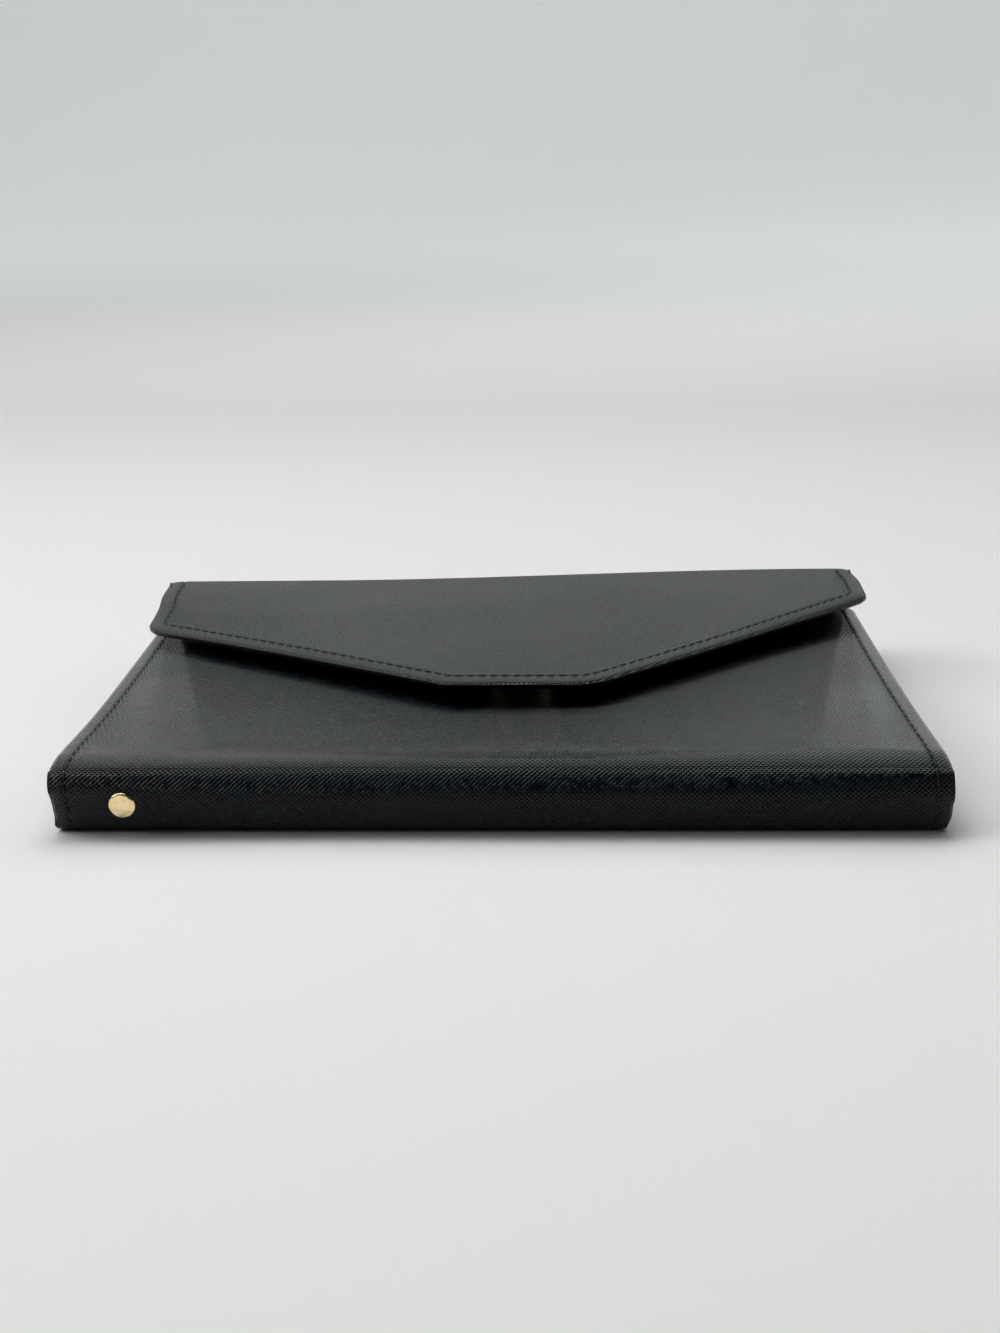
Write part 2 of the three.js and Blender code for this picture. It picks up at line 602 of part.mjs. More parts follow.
// Passport pocket and document window inside the front cover. The mouths face the rivet's end.
function coverPockets() {
  const toLocal = (x) => -x; // the cover's frame is turned over
  const passportX0 = -HALF_LENGTH + PASSPORT_MOUTH;
  const passportZ0 = PANEL + SLIP;
  const passportZ1 = passportZ0 + PASSPORT_SHEET;
  const pocket = rectangle(toLocal(POCKET_X1), toLocal(passportX0), POCKET_Y0, POCKET_Y1);
  const middleY = (POCKET_Y0 + POCKET_Y1) / 2;
  const notch = roundPin(THUMB_NOTCH_R, toLocal(passportX0), middleY, 0, passportZ1 + 1);
  const filmZ0 = passportZ1 + GLUE / 2;
  const frameZ0 = filmZ0 + WINDOW_FILM + GLUE / 2;
  const frameX0 = toLocal(POCKET_X1);
  const frameX1 = toLocal(WINDOW_X);
  const frame = outline(rectangle(frameX0, frameX1, POCKET_Y0, POCKET_Y1, POCKET_CORNER_R));
  const openX = [frameX0 + WINDOW_MARGIN, frameX1 - WINDOW_MARGIN];
  const openY = [POCKET_Y0 + WINDOW_MARGIN, POCKET_Y1 - WINDOW_MARGIN];
  const opening = outline(rectangle(...openX, ...openY, POCKET_CORNER_R));
  const lap = WINDOW_MARGIN / 2;
  const film = box(
    openX[0] - lap,
    openX[1] + lap,
    openY[0] - lap,
    openY[1] + lap,
    filmZ0,
    filmZ0 + WINDOW_FILM,
  );
  return [
    piece(
      "passport_pocket",
      cut(extrude(outline(pocket), passportZ0, passportZ1), notch),
      "leather",
    ),
    piece("id_window_film", film, "film"),
    piece(
      "id_window_frame",
      cut(extrude(frame, frameZ0, frameZ0 + CARD_SHEET), extrude(opening, 0, frameZ0 + 1)),
      "leather",
    ),
  ];
}

// Near spine, in a frame on its outer face: local y runs down, local z into the wallet.

const SPINE_HALF = (COVER_TOP - TOP_FOLD_R - BOTTOM_FOLD_R) / 2;
const SPINE_MID_Z = BOTTOM_FOLD_R + SPINE_HALF;

function nearSpine() {
  const half = SPINE_HALF - FOLD_GAP;
  const corners = rectangle(-HALF_LENGTH, HALF_LENGTH, -half, half);
  const hole = roundPin(RIVET_POST_R + RIVET_HOLE_PLAY, RIVET_X, 0, -1, PANEL + 1);
  return panel("spine", corners, [false, true, false, true], {
    skin: [hole],
    board: [hole],
    lining: [hole],
  });
}

const STRAP_Z0 = PANEL + GLUE;
const STRAP_Z1 = STRAP_Z0 + STRAP_T;

function keyRivet() {
  const capFlat = RIVET_PROUD * 0.45;
  const crown = 0.35;
  const profile = [
    new THREE.Vector2(0, RIVET_PROUD),
    new THREE.Vector2(RIVET_R * 0.55, RIVET_PROUD - crown * 0.12),
    new THREE.Vector2(RIVET_R * 0.86, RIVET_PROUD - crown * 0.5),
    new THREE.Vector2(RIVET_R, capFlat),
    new THREE.Vector2(RIVET_R, 0.05),
    new THREE.Vector2(RIVET_POST_R, 0.05),
    new THREE.Vector2(RIVET_POST_R, -STRAP_Z1 - RIVET_BASE_T / 2),
    new THREE.Vector2(0, -STRAP_Z1 - RIVET_BASE_T / 2),
  ];
  profile.reverse();
  const cap = new THREE.LatheGeometry(profile, ROUND_STEPS).rotateX(-Math.PI / 2).translate(RIVET_X, 0, 0);
  const base = roundPin(RIVET_R, RIVET_X, 0, STRAP_Z1 + GLUE, STRAP_Z1 + GLUE + RIVET_BASE_T);
  const socket = roundPin(RIVET_POST_R + RIVET_HOLE_PLAY, RIVET_X, 0, 0, STRAP_Z1 + RIVET_BASE_T * 0.75);
  return [piece("rivet_cap", cap, "gold"), piece("rivet_base", cut(base, socket), "gold")];
}

const EYE_X = RIVET_X + STRAP_RUN;
const EYE_Z = PANEL + STRAP_EYE_OFF;

// The strap is drawn from the side in x and z, then its plan is tapered from rivet to eye.
function keyStrap() {
  const x0 = RIVET_X - STRAP_TAIL;
  const x1 = RIVET_X + STRAP_FLAT;
  const x2 = x1 + STRAP_RISE;
  const endZ0 = EYE_Z - STRAP_T / 2;
  const side = new THREE.Shape();
  side.moveTo(x0, STRAP_Z0);
  side.lineTo(x1, STRAP_Z0);
  side.lineTo(x2, endZ0);
  side.lineTo(EYE_X, endZ0);
  side.lineTo(EYE_X, endZ0 + STRAP_T);
  side.lineTo(x2, endZ0 + STRAP_T);
  side.lineTo(x1, STRAP_Z1);
  side.lineTo(x0, STRAP_Z1);
  side.closePath();
  const half = STRAP_W / 2;
  const neck = STRAP_NECK_W / 2;
  const eyeX1 = EYE_X + STRAP_EYE_R + STRAP_EYE_WALL;
  const plan = outline([
    [x0, -half, half * 0.7],
    [x1, -half, 0],
    [x2, -neck, 0],
    [eyeX1 + 1, -neck, 0],
    [eyeX1 + 1, neck, 0],
    [x2, neck, 0],
    [x1, half, 0],
    [x0, half, half * 0.7],
  ]);
  const run = extrude(side, -half, half).rotateX(Math.PI / 2);
  const ring = roundPin(STRAP_EYE_R + STRAP_EYE_WALL, 0, 0, -half, half);
  const bore = roundPin(STRAP_EYE_R, 0, 0, -half - 1, half + 1);
  for (const part of [ring, bore]) part.rotateX(Math.PI / 2).translate(EYE_X, 0, EYE_Z);
  const hole = roundPin(RIVET_POST_R + RIVET_HOLE_PLAY, RIVET_X, 0, STRAP_Z0 - 1, STRAP_Z1 + 1);
  const whole = toSolid(run).add(toSolid(ring)).intersect(toSolid(extrude(plan, 0, EYE_Z * 2)));
  return piece("key_strap", cut(toGeometry(whole), bore, hole), "leather");
}

// The clip lies along the spine; the swivel's axis is local x through the middle of the strap's eye.
const WIRE_X = EYE_X + (STRAP_EYE_R - CLIP_WIRE / 2) * 0.25;
const COLLAR_X0 = WIRE_X + CLIP_EYE_LENGTH;
const HOOK_IN_X0 = COLLAR_X0 + CLIP_COLLAR;
const HOOK_X1 = COLLAR_X0 + CLIP_LENGTH;

function clipEye() {
  const w = CLIP_WIRE;
  const bowX1 = COLLAR_X0 - CLIP_EYE_PLAY;
  const z = [EYE_Z - w / 2, EYE_Z + w / 2];
  const outer = STRAP_NECK_W / 2 + CLIP_EYE_PLAY + w;
  const headX0 = HOOK_IN_X0 + CLIP_EYE_PLAY;
  const parts = [
    box(WIRE_X - w / 2, WIRE_X + w / 2, -outer, outer, ...z),
    box(bowX1 - w, bowX1, -outer, outer, ...z),
    box(WIRE_X, bowX1 - w / 2, outer - w, outer, ...z),
    box(WIRE_X, bowX1 - w / 2, -outer, w - outer, ...z),
    roundPinX(CLIP_POST_R, bowX1 - w / 2, headX0 + CLIP_HEAD_T / 2, 0, EYE_Z),
    roundPinX(CLIP_HEAD_R, headX0, headX0 + CLIP_HEAD_T, 0, EYE_Z),
  ];
  return piece("clip_eye", join(...parts), "gold");
}

const HOOK_HALF_W = CLIP_W / 2;
const HOOK_IN_HALF = HOOK_HALF_W - CLIP_WALL;
const GATE_X1 = HOOK_X1 - CLIP_NOSE - CLIP_WALL;
const GATE_X0 = GATE_X1 - CLIP_GATE;
const PIN_X = GATE_X0 + LEVER_ROOT_R + LEVER_PLAY;
const PIN_Y = -HOOK_IN_HALF - LEVER_ROOT_R; // the gate is in the clip's upper side

// A forged hook: collar, ring with a gate in its side, and two thin cheeks that hold the lever's pin.
function clipHook() {
  const plan = outline(rectangle(COLLAR_X0, HOOK_X1, -HOOK_HALF_W, HOOK_HALF_W, HOOK_HALF_W * 0.75));
  const inHalf = HOOK_IN_HALF;
  const hollow = outline(rectangle(HOOK_IN_X0, HOOK_X1 - CLIP_WALL, -inHalf, inHalf, inHalf * 0.9));
  const z0 = EYE_Z - CLIP_T / 2;
  const z1 = EYE_Z + CLIP_T / 2;
  const bore = roundPinX(CLIP_POST_R + LEVER_PLAY, COLLAR_X0 - 1, HOOK_IN_X0 + 1, 0, EYE_Z);
  const headRoom = roundPinX(CLIP_HEAD_R + LEVER_PLAY, HOOK_IN_X0, HOOK_IN_X0 + 2, 0, EYE_Z);
  const gateY = [-HOOK_HALF_W - 1, 0.4 - inHalf];
  const cheekX1 = PIN_X + LEVER_ROOT_R;
  const slotHalf = LEVER_T / 2 + LEVER_PLAY;
  const gate = box(cheekX1, GATE_X1, ...gateY, z0 - 1, z1 + 1);
  const slot = box(GATE_X0 - LEVER_PLAY, GATE_X1, ...gateY, EYE_Z - slotHalf, EYE_Z + slotHalf);
  const ring = cut(
    extrude(plan, z0, z1),
    extrude(hollow, z0 - 1, z1 + 1),
    bore,
    headRoom,
    gate,
    slot,
  );
  return piece("clip_hook", join(ring, roundPin(LEVER_PIN_R, PIN_X, PIN_Y, z0, z1)), "gold");
}

function clipLever() {
  const z0 = EYE_Z - LEVER_T / 2;
  const z1 = EYE_Z + LEVER_T / 2;
  const outerY = LEVER_PLAY / 2 - HOOK_HALF_W;
  const root = roundPin(LEVER_ROOT_R, PIN_X, PIN_Y, z0, z1);
  const bar = box(PIN_X, GATE_X1 - LEVER_PLAY, outerY, -HOOK_IN_HALF, z0, z1);
  const thumbX0 = PIN_X + 2 * CLIP_WALL;
  const thumbY0 = -HOOK_HALF_W - LEVER_THUMB;
  const thumb = box(thumbX0, thumbX0 + LEVER_THUMB_L, thumbY0, outerY + LEVER_PLAY, z0, z1);
  const bore = roundPin(LEVER_BORE_R, PIN_X, PIN_Y, z0 - 1, z1 + 1);
  return piece("clip_lever", cut(join(root, bar, thumb), bore), "gold");
}

// Pen loop: a flat-backed elastic ring on the spine's lining, open along X.
function penLoop() {
  const x0 = PEN_LOOP_X - PEN_LOOP_W / 2;
  const x1 = PEN_LOOP_X + PEN_LOOP_W / 2;
  const half = PEN_LOOP_OUTER_H / 2;
  const z0 = PANEL + GLUE;
  const z1 = z0 + PEN_LOOP_OUTER_D;
  const outer = outline(rectangle(-half, half, z0, z1, half * 0.35, half * 0.95));
  const w = PEN_LOOP_WALL;
  const inner = outline(rectangle(w - half, half - w, z0 + w, z1 - w, half * 0.3, half * 0.75));
  return piece("pen_loop", cut(alongX(outer, x0, x1), alongX(inner, x0 - 1, x1 + 1)), "elastic");
}

// Far spine, in a frame on its outer face: local y runs up, local z into the wallet.

const FAR_SPINE_HALF = (FLAP_TOP - TOP_FOLD_R - BOTTOM_FOLD_R) / 2;
const FAR_SPINE_MID_Z = BOTTOM_FOLD_R + FAR_SPINE_HALF;

function farSpine() {
  const half = FAR_SPINE_HALF - FOLD_GAP;
  const corners = rectangle(-HALF_LENGTH, HALF_LENGTH, -half, half);
  return panel("far_spine", corners, [false, true, false, true]);
}

// Flap, in a frame turned over about Y like the front cover's.

function flap() {
  const corners = [
    [-FLAP_TIP_X1, FAR_Y - FLAP_REACH, FLAP_TIP_RIGHT_R],
    [-FLAP_TIP_X0, FAR_Y - FLAP_REACH, FLAP_TIP_LEFT_R],
    [HALF_LENGTH, FAR_Y - FLAP_SIDE_LEFT, FLAP_CORNER_R],
    [HALF_LENGTH, FAR_Y - TOP_FOLD_R - FOLD_GAP, 0],
    [-HALF_LENGTH, FAR_Y - TOP_FOLD_R - FOLD_GAP, 0],
    [-HALF_LENGTH, FAR_Y - FLAP_SIDE_RIGHT, FLAP_CORNER_R],
  ];
  const washerZ1 = SKIN + GLUE + SNAP_WASHER_T;
  const recess = roundPin(SNAP_WASHER_R + LEG_PLAY, SNAP_X, SNAP_Y, 0, washerZ1 + GLUE);
  const holes = {
    board: [...legSlots(SNAP_Y, 0, PANEL + 1), recess],
    lining: legSlots(SNAP_Y, 0, PANEL + 1),
  };
  const face = PANEL + SNAP_BODY_T;
  const pip = roundPin(SNAP_PIP_R, SNAP_X, SNAP_Y, face - 0.1, face + SNAP_PIP_H);
  return [
    ...panel("flap", corners, [true, true, true, false, true, true], holes),
    snapHalf("snap_stud", SNAP_Y, PANEL, face, SKIN + GLUE, (g) => join(g, pip)),
    snapWasher("snap_stud_washer", SNAP_Y, SKIN + GLUE, washerZ1),
  ];
}

// The wallet
const wallet = new THREE.Group();
wallet.add(
  groupOf(
    backCover(),
    boardingPassPocket(),
    cardSlots(),
    zipPocket(),
    zipChain(),
    zipSlider(),
    zipPull(),
  ),
  place(
    groupOf(nearSpine(), keyRivet(), keyStrap(), clipEye(), clipHook(), clipLever(), penLoop()),
    0,
    NEAR_Y,
    SPINE_MID_Z,
    -Math.PI / 2,
  ),
  place(groupOf(frontCover(), coverPockets()), 0, 0, COVER_TOP, 0, Math.PI),
  place(groupOf(farSpine()), 0, FAR_Y, FAR_SPINE_MID_Z, Math.PI / 2),
  place(groupOf(flap()), 0, 0, FLAP_TOP, 0, Math.PI),
  place(groupOf(foldStrip("near_bottom_fold", BOTTOM_FOLD_R)), 0, NEAR_Y, 0),
  place(groupOf(foldStrip("near_top_fold", TOP_FOLD_R)), 0, NEAR_Y, COVER_TOP, -Math.PI / 2),
  place(groupOf(foldStrip("far_bottom_fold", BOTTOM_FOLD_R)), 0, FAR_Y, 0, Math.PI / 2),
  place(groupOf(foldStrip("far_top_fold", TOP_FOLD_R)), 0, FAR_Y, FLAP_TOP, Math.PI),
);

export default wallet;
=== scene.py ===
# A closed tri-fold travel document holder in black cross-grain leather, on a pale floor.
# Lengths in this script are millimetres unless a name says otherwise, and MM turns them into metres.
import json
import math

import bmesh
import bpy
import numpy as np
from mathutils import Matrix, Vector


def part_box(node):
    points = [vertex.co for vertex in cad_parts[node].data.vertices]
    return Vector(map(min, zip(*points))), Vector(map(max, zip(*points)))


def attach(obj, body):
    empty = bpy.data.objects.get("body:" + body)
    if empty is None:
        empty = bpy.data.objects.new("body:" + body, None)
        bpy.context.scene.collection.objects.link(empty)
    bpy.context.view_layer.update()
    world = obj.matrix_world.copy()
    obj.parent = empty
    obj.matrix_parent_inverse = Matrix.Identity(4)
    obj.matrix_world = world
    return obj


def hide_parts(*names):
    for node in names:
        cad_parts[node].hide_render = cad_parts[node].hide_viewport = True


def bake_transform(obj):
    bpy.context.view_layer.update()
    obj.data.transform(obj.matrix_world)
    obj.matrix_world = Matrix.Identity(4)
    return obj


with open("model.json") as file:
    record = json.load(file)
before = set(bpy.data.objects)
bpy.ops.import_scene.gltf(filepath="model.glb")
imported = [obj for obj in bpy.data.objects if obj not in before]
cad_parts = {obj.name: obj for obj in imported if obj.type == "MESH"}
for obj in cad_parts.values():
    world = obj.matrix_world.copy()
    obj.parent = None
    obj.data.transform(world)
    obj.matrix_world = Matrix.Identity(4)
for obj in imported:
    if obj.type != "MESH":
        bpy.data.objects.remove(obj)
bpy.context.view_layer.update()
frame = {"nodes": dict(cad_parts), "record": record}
BODIES = frame["record"]["behaviour"]["bodies"]
MM = 0.001
X, Y, Z = 0, 1, 2


def reach(node, axis):
    """Lowest and highest coordinate of a CAD node along one axis, in millimetres."""
    low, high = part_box(node)
    return low[axis] / MM, high[axis] / MM


def span(node):
    """The node's reach along all three axes."""
    return [reach(node, axis) for axis in (X, Y, Z)]


# Sizes that the frame gives
HALF = reach("back_skin", X)[1]
NEAR = reach("spine_skin", Y)[0]
FAR = reach("far_spine_skin", Y)[1]
COVER_TOP = reach("cover_skin", Z)[1]
COVER_END = reach("cover_skin", Y)[1]
FLAP_TOP = reach("flap_skin", Z)[1]
FLAP_TIP = reach("flap_skin", Y)[0]
BOTTOM_R = reach("near_bottom_fold", Z)[1]
TOP_R = COVER_TOP - reach("near_top_fold", Z)[0]
BACK_MIDDLE = (NEAR + FAR) / 2
NEAR_MIDDLE = 5.0  # height of the join between the cover's leather and the back's on the near spine
FAR_MIDDLE = (FLAP_TOP - TOP_R + BOTTOM_R) / 2

# Leather
PANEL_LEATHER = 2.2  # skin, board and turned edge together
FOLD_LEATHER = 0.9
LINING = 0.4
LINING_INSET = 1.6
HEM_DROP = 0.35  # how far the turned hem outside the seam lies below the panel
FLAP_HEM_DROP = 0.55
SEAM_DIP = 0.17  # how deep the thread pulls the leather in
BOARD_THICKNESS = 0.9
BOARD_DEPTH = 0.7  # leather over the board
BOARD_INSET = 2.4
BOARD_BORDER = 6.0  # width of the finely divided border of a board's mesh
BOARD_AFTER_FOLD = 4.0
SPINE_BOARD_Z = (2.8, 6.2)
SPINE_BOARD_THICKNESS = 0.8
WINDOW_MARGIN = 7.0  # the document window's frame, as in the solids
GRAIN_ACROSS = 1.12  # pitch of the embossed diamonds along X
GRAIN_ALONG = 1.1
CREST_RELIEF = 2.4  # how much more the grain stands out where the leather is pulled over the near fold

# Thread and pocket edges
STITCH_INSET = 3.7
FLAP_STITCH_INSET = 4.2
STITCH_PITCH = 2.75
STITCH_LENGTH = 2.15
STITCH_THICKNESS = 0.5
STITCH_SLANT = 0.10
STITCH_SUNK = 0.12
UNDERSIDE_SUNK = 0.34  # deeper under the back, so that the holder lies on its leather
STITCH_SPOTS = 420
POCKET_STITCH = 1.6  # inset of the thread from a pocket's edges
POCKET_PITCH = 2.5
POCKET_STITCH_LENGTH = 1.9
POCKET_THREAD = 0.42
ZIP_STITCH = 1.3
THREAD_PROUD = 0.1
THUMB_NOTCH = 11.0
MOUTH_INSET = 0.55  # a turned mouth's middle line, from the pocket's edge
MOUTH_END = 0.3
MOUTH_WIDTH = 1.1
MOUTH_HEIGHT = 0.34

# Flap outline, as in the solids: side corners and tip, which is a little right of the middle
FLAP_SIDE_LEFT = 33.0
FLAP_SIDE_RIGHT = 20.5
FLAP_TIP_X0 = -13.0
FLAP_TIP_X1 = 22.0
FLAP_TIP_LEFT_R = 6.0
FLAP_TIP_RIGHT_R = 15.0
FLAP_CORNER_LEFT_R = 7.0
FLAP_CORNER_RIGHT_R = 5.0
COVER_CORNER_R = 4.0
FAR_FOLD_Y = 2.2  # the far-top fold is crisp: its half axes in y and z
FAR_FOLD_Z = 3.5
NEAR_CROWN = 0.55  # how full the cover stands behind its near fold

# The photograph's camera
CAMERA_AT = (11.87, -321.13, 144.17)
CAMERA_PITCH = 21.654
CAMERA_YAW = 2.245
CAMERA_ROLL = 1.131
CAMERA_FOCAL_PX = 1381.7
PHOTO_HEIGHT_PX = 1333

# Floor and backdrop, in metres
FLOOR_HALF = 6.0
BACKDROP_AT = 0.9  # where the floor starts to turn up
BACKDROP_R = 0.6
BACKDROP_HEIGHT = 2.4

# Light levels
SKY_REAR = 0.5
SKY_FRONT = 0.03
SIDE_WATTS = 5.0
REAR_WATTS = 1.2
KEY_WATTS = 3.9
FILL_WATTS = 1.0
HORIZON = 0.6  # a pale sky beyond the floor's edges, for views from the side
FAR_FLOOR_GLOW = 0.48  # the same for the floor far from the object
BACKDROP_GLOW = 0.5  # the backdrop's own light, as from a window behind it
BACKDROP_FADE = 0.44  # how much of it is lost higher up


# Objects and node trees

def linked(name, data):
    """A new object for a mesh, a camera or a lamp, placed in the scene."""
    made = bpy.data.objects.new(name, data)
    bpy.context.scene.collection.objects.link(made)
    return made


def put(tree, kind, inputs=None, **settings):
    """Adds a node, sets its settings and fills its inputs with values or with other nodes' sockets."""
    node = tree.nodes.new(kind)
    for name, value in settings.items():
        setattr(node, name, value)
    for name, value in (inputs or {}).items():
        socket = node.inputs[name]
        if isinstance(value, bpy.types.NodeSocket):
            tree.links.new(value, socket)
        else:
            socket.default_value = value
    return node


def sums(tree, operation, *values, clamp=False):
    """The result of one math node."""
    node = put(tree, "ShaderNodeMath", dict(enumerate(values)), operation=operation, use_clamp=clamp)
    return node.outputs[0]


def blank_material(name, surface):
    """A material with one Principled shader, whose sockets are set by name."""
    material = bpy.data.materials.new(name)
    material.use_nodes = True
    tree = material.node_tree
    tree.nodes.clear()
    shader = put(tree, "ShaderNodeBsdfPrincipled", surface)
    output = put(tree, "ShaderNodeOutputMaterial")
    tree.links.new(shader.outputs["BSDF"], output.inputs["Surface"])
    return material, tree, shader


def mixed(tree, factor, low, high):
    """A colour between low and high."""
    node = put(tree, "ShaderNodeMix", data_type="RGBA")
    for name, value in (("Factor", factor), ("A", low), ("B", high)):
        socket = next(s for s in node.inputs if s.name == name and s.type in ("RGBA", "VALUE") and s.enabled)
        if isinstance(value, bpy.types.NodeSocket):
            tree.links.new(value, socket)
        else:
            socket.default_value = value
    return next(s for s in node.outputs if s.enabled)


def ranged(tree, value, low, high, to_low, to_high):
    """A value carried over from one range to another, and held at its ends."""
    inputs = {"Value": value, "From Min": low, "From Max": high, "To Min": to_low, "To Max": to_high}
    return put(tree, "ShaderNodeMapRange", inputs).outputs["Result"]


def painted(tree, shader, colour):
    tree.links.new(colour, shader.inputs["Base Color"])


def bumped(tree, shader, height, distance, strength, socket="Normal"):
    """Raises the surface by a height pattern. The distance is in metres."""
    bump = put(tree, "ShaderNodeBump", {"Strength": strength, "Distance": distance, "Height": height})
    tree.links.new(bump.outputs["Normal"], shader.inputs[socket])


# Materials

def millimetres(tree, source):
    """The pattern's two coordinates in millimetres: the strip's unrolled map, or two of the object's."""
    if source == "strip":
        vector = put(tree, "ShaderNodeUVMap", uv_map="strip").outputs["UV"]
        parts = put(tree, "ShaderNodeSeparateXYZ", {0: vector})
        return vector, parts.outputs["X"], parts.outputs["Y"]
    place = put(tree, "ShaderNodeTexCoord").outputs["Object"]
    vector = put(tree, "ShaderNodeVectorMath", {0: place, "Scale": 1 / MM}, operation="SCALE").outputs[0]
    parts = put(tree, "ShaderNodeSeparateXYZ", {0: vector})
    along = {"flat": "Y", "upright": "Z"}[source]
    return vector, parts.outputs["X"], parts.outputs[along]


def cross_grain_leather(name, source, wax_and_shade=1.0, depth=0.125, tint=(0.002, 0.0062, 0.0108, 1)):
    """Black leather embossed with crossed diagonals that leave small domed pellets, under a thin waxed coat.
    Its grooves are painted darker as painted shade, and a lower coat level makes a shaded copy that reflects
    less.
    """
    finish = {"Specular IOR Level": 0.10 + 0.08 * wax_and_shade, "Coat Weight": wax_and_shade, "Coat IOR": 1.2,
              "Coat Roughness": 0.06}
    material, tree, shader = blank_material(name, finish)
    vector, across, along = millimetres(tree, source)
    drift = put(tree, "ShaderNodeTexNoise", {"Vector": vector, "Scale": 0.3, "Detail": 1.0})
    shift = ranged(tree, drift.outputs[0], 0.3, 0.7, -0.08, 0.08)
    a = sums(tree, "MULTIPLY_ADD", across, 1 / GRAIN_ACROSS, shift)
    b = sums(tree, "MULTIPLY", along, 1 / GRAIN_ALONG)
    ridges, cells = [], []
    for operation in ("ADD", "SUBTRACT"):
        diagonal = sums(tree, operation, a, b)
        ridges.append(sums(tree, "MULTIPLY", sums(tree, "PINGPONG", diagonal, 0.5), 2.0))
        cells.append(sums(tree, "FLOOR", diagonal))
    diamond = sums(tree, "SMOOTH_MIN", *ridges, 0.3, clamp=True)
    slack = sums(tree, "SUBTRACT", 1.0, diamond)
    pellet = sums(tree, "SUBTRACT", 1.0, sums(tree, "POWER", slack, 2.4))
    cell = put(tree, "ShaderNodeCombineXYZ", {"X": cells[0], "Y": cells[1]})
    chance = put(tree, "ShaderNodeTexWhiteNoise", {"Vector": cell.outputs[0]}, noise_dimensions="2D")
    swell = ranged(tree, chance.outputs[0], 0.0, 1.0, 0.75, 1.2)
    pores = put(tree, "ShaderNodeTexNoise", {"Vector": vector, "Scale": 5.0, "Detail": 2.0})
    domes = sums(tree, "MULTIPLY", pellet, swell)
    height = sums(tree, "MULTIPLY_ADD", pores.outputs[0], 0.10, domes)
    patches = put(tree, "ShaderNodeTexNoise", {"Vector": vector, "Scale": 0.05, "Detail": 3.0})
    # The grooves between the pellets are painted darker than their tops: painted shade in the grooves.
    groove_shade = tuple(c * 0.2 for c in tint[:3]) + (1,)
    worn = tuple(min(1, c * 1.5) for c in tint[:3]) + (1,)
    rubbed = ranged(tree, patches.outputs[0], 0.4, 0.7, 0.0, 0.6)
    top = mixed(tree, rubbed, tint, worn)
    colour = mixed(tree, ranged(tree, pellet, 0.3, 0.8, 0.0, 1.0), groove_shade, top)
    gloss = ranged(tree, pellet, 0.3, 0.9, 0.24, 0.12)
    smear = ranged(tree, patches.outputs[0], 0.35, 0.65, -0.03, 0.05)
    painted(tree, shader, colour)
    tree.links.new(sums(tree, "ADD", gloss, smear), shader.inputs["Roughness"])
    relief = sums(tree, "MULTIPLY_ADD", near_crest(tree), CREST_RELIEF * depth * MM, depth * MM)
    bumped(tree, shader, height, relief, 1.0)
    bumped(tree, shader, height, relief, 0.9, "Coat Normal")
    return material


def near_crest(tree):
    """1 on the cover just behind the near fold, where the leather is pulled tight over its core."""
    place = put(tree, "ShaderNodeTexCoord").outputs["Object"]
    spot = put(tree, "ShaderNodeSeparateXYZ", {0: place})
    near = ranged(tree, spot.outputs["Y"], (NEAR + 10.5) * MM, (NEAR + 3.5) * MM, 0.0, 1.0)
    high = ranged(tree, spot.outputs["Z"], (COVER_TOP - 1.7) * MM, (COVER_TOP - 0.5) * MM, 0.0, 1.0)
    return sums(tree, "MULTIPLY", near, high)


def woven(name, colour, pitch=0.45, depth=0.04):
    """A fine plain weave, for lining, tape and elastic."""
    finish = {"Roughness": 0.85, "Specular IOR Level": 0.3, "Sheen Weight": 0.15}
    material, tree, shader = blank_material(name, finish)
    vector, across, along = millimetres(tree, "flat")
    threads = []
    for value in (across, along):
        turn = sums(tree, "MULTIPLY", value, math.tau / pitch)
        threads.append(sums(tree, "SINE", turn))
    height = sums(tree, "MULTIPLY", *threads)
    fuzz = put(tree, "ShaderNodeTexNoise", {"Vector": vector, "Scale": 2.5, "Detail": 3.0})
    # The weave's low points are painted darker than its threads: painted shade between the threads.
    dark = tuple(c * 0.55 for c in colour[:3]) + (1,)
    shade = mixed(tree, ranged(tree, height, -1, 1, 0.0, 1.0), dark, colour)
    tint = mixed(tree, ranged(tree, fuzz.outputs[0], 0.3, 0.7, 0.0, 0.5), shade, dark)
    painted(tree, shader, tint)
    bumped(tree, shader, height, depth * MM, 0.8)
    return material


def gold_plate(name, roughness=0.2, colour=(0.86, 0.66, 0.40, 1), dents=0.015):
    """Pale gold plate with fine scratches, cloudy patches and shallow dents."""
    material, tree, shader = blank_material(name, {"Metallic": 1.0})
    vector, _, _ = millimetres(tree, "flat")
    clouds = put(tree, "ShaderNodeTexNoise", {"Vector": vector, "Scale": 0.8, "Detail": 3.0})
    grinding = {"Vector": vector, "Scale": (9.0, 0.8, 3.0), "Rotation": (0.3, 0.2, 0.6)}
    stretched = put(tree, "ShaderNodeMapping", grinding)
    streaks = {"Vector": stretched.outputs[0], "Scale": 1.5, "Detail": 4.0}
    scratches = put(tree, "ShaderNodeTexNoise", streaks)
    pale = tuple(min(1, c * 1.12) for c in colour[:3]) + (1,)
    cloudy = ranged(tree, clouds.outputs[0], 0.35, 0.65, 0.0, 1.0)
    painted(tree, shader, mixed(tree, cloudy, colour, pale))
    gloss = ranged(tree, scratches.outputs[0], 0.35, 0.7, roughness, roughness + 0.16)
    tree.links.new(gloss, shader.inputs["Roughness"])
    hollow = put(tree, "ShaderNodeTexNoise", {"Vector": vector, "Scale": 0.55, "Detail": 1.0})
    broad = {"Strength": 1.0, "Distance": dents * MM, "Height": hollow.outputs[0]}
    waves = put(tree, "ShaderNodeBump", broad)
    fine = {"Strength": 0.5, "Distance": 0.012 * MM, "Height": scratches.outputs[0]}
    bump = put(tree, "ShaderNodeBump", {**fine, "Normal": waves.outputs["Normal"]})
    tree.links.new(bump.outputs["Normal"], shader.inputs["Normal"])
    return material


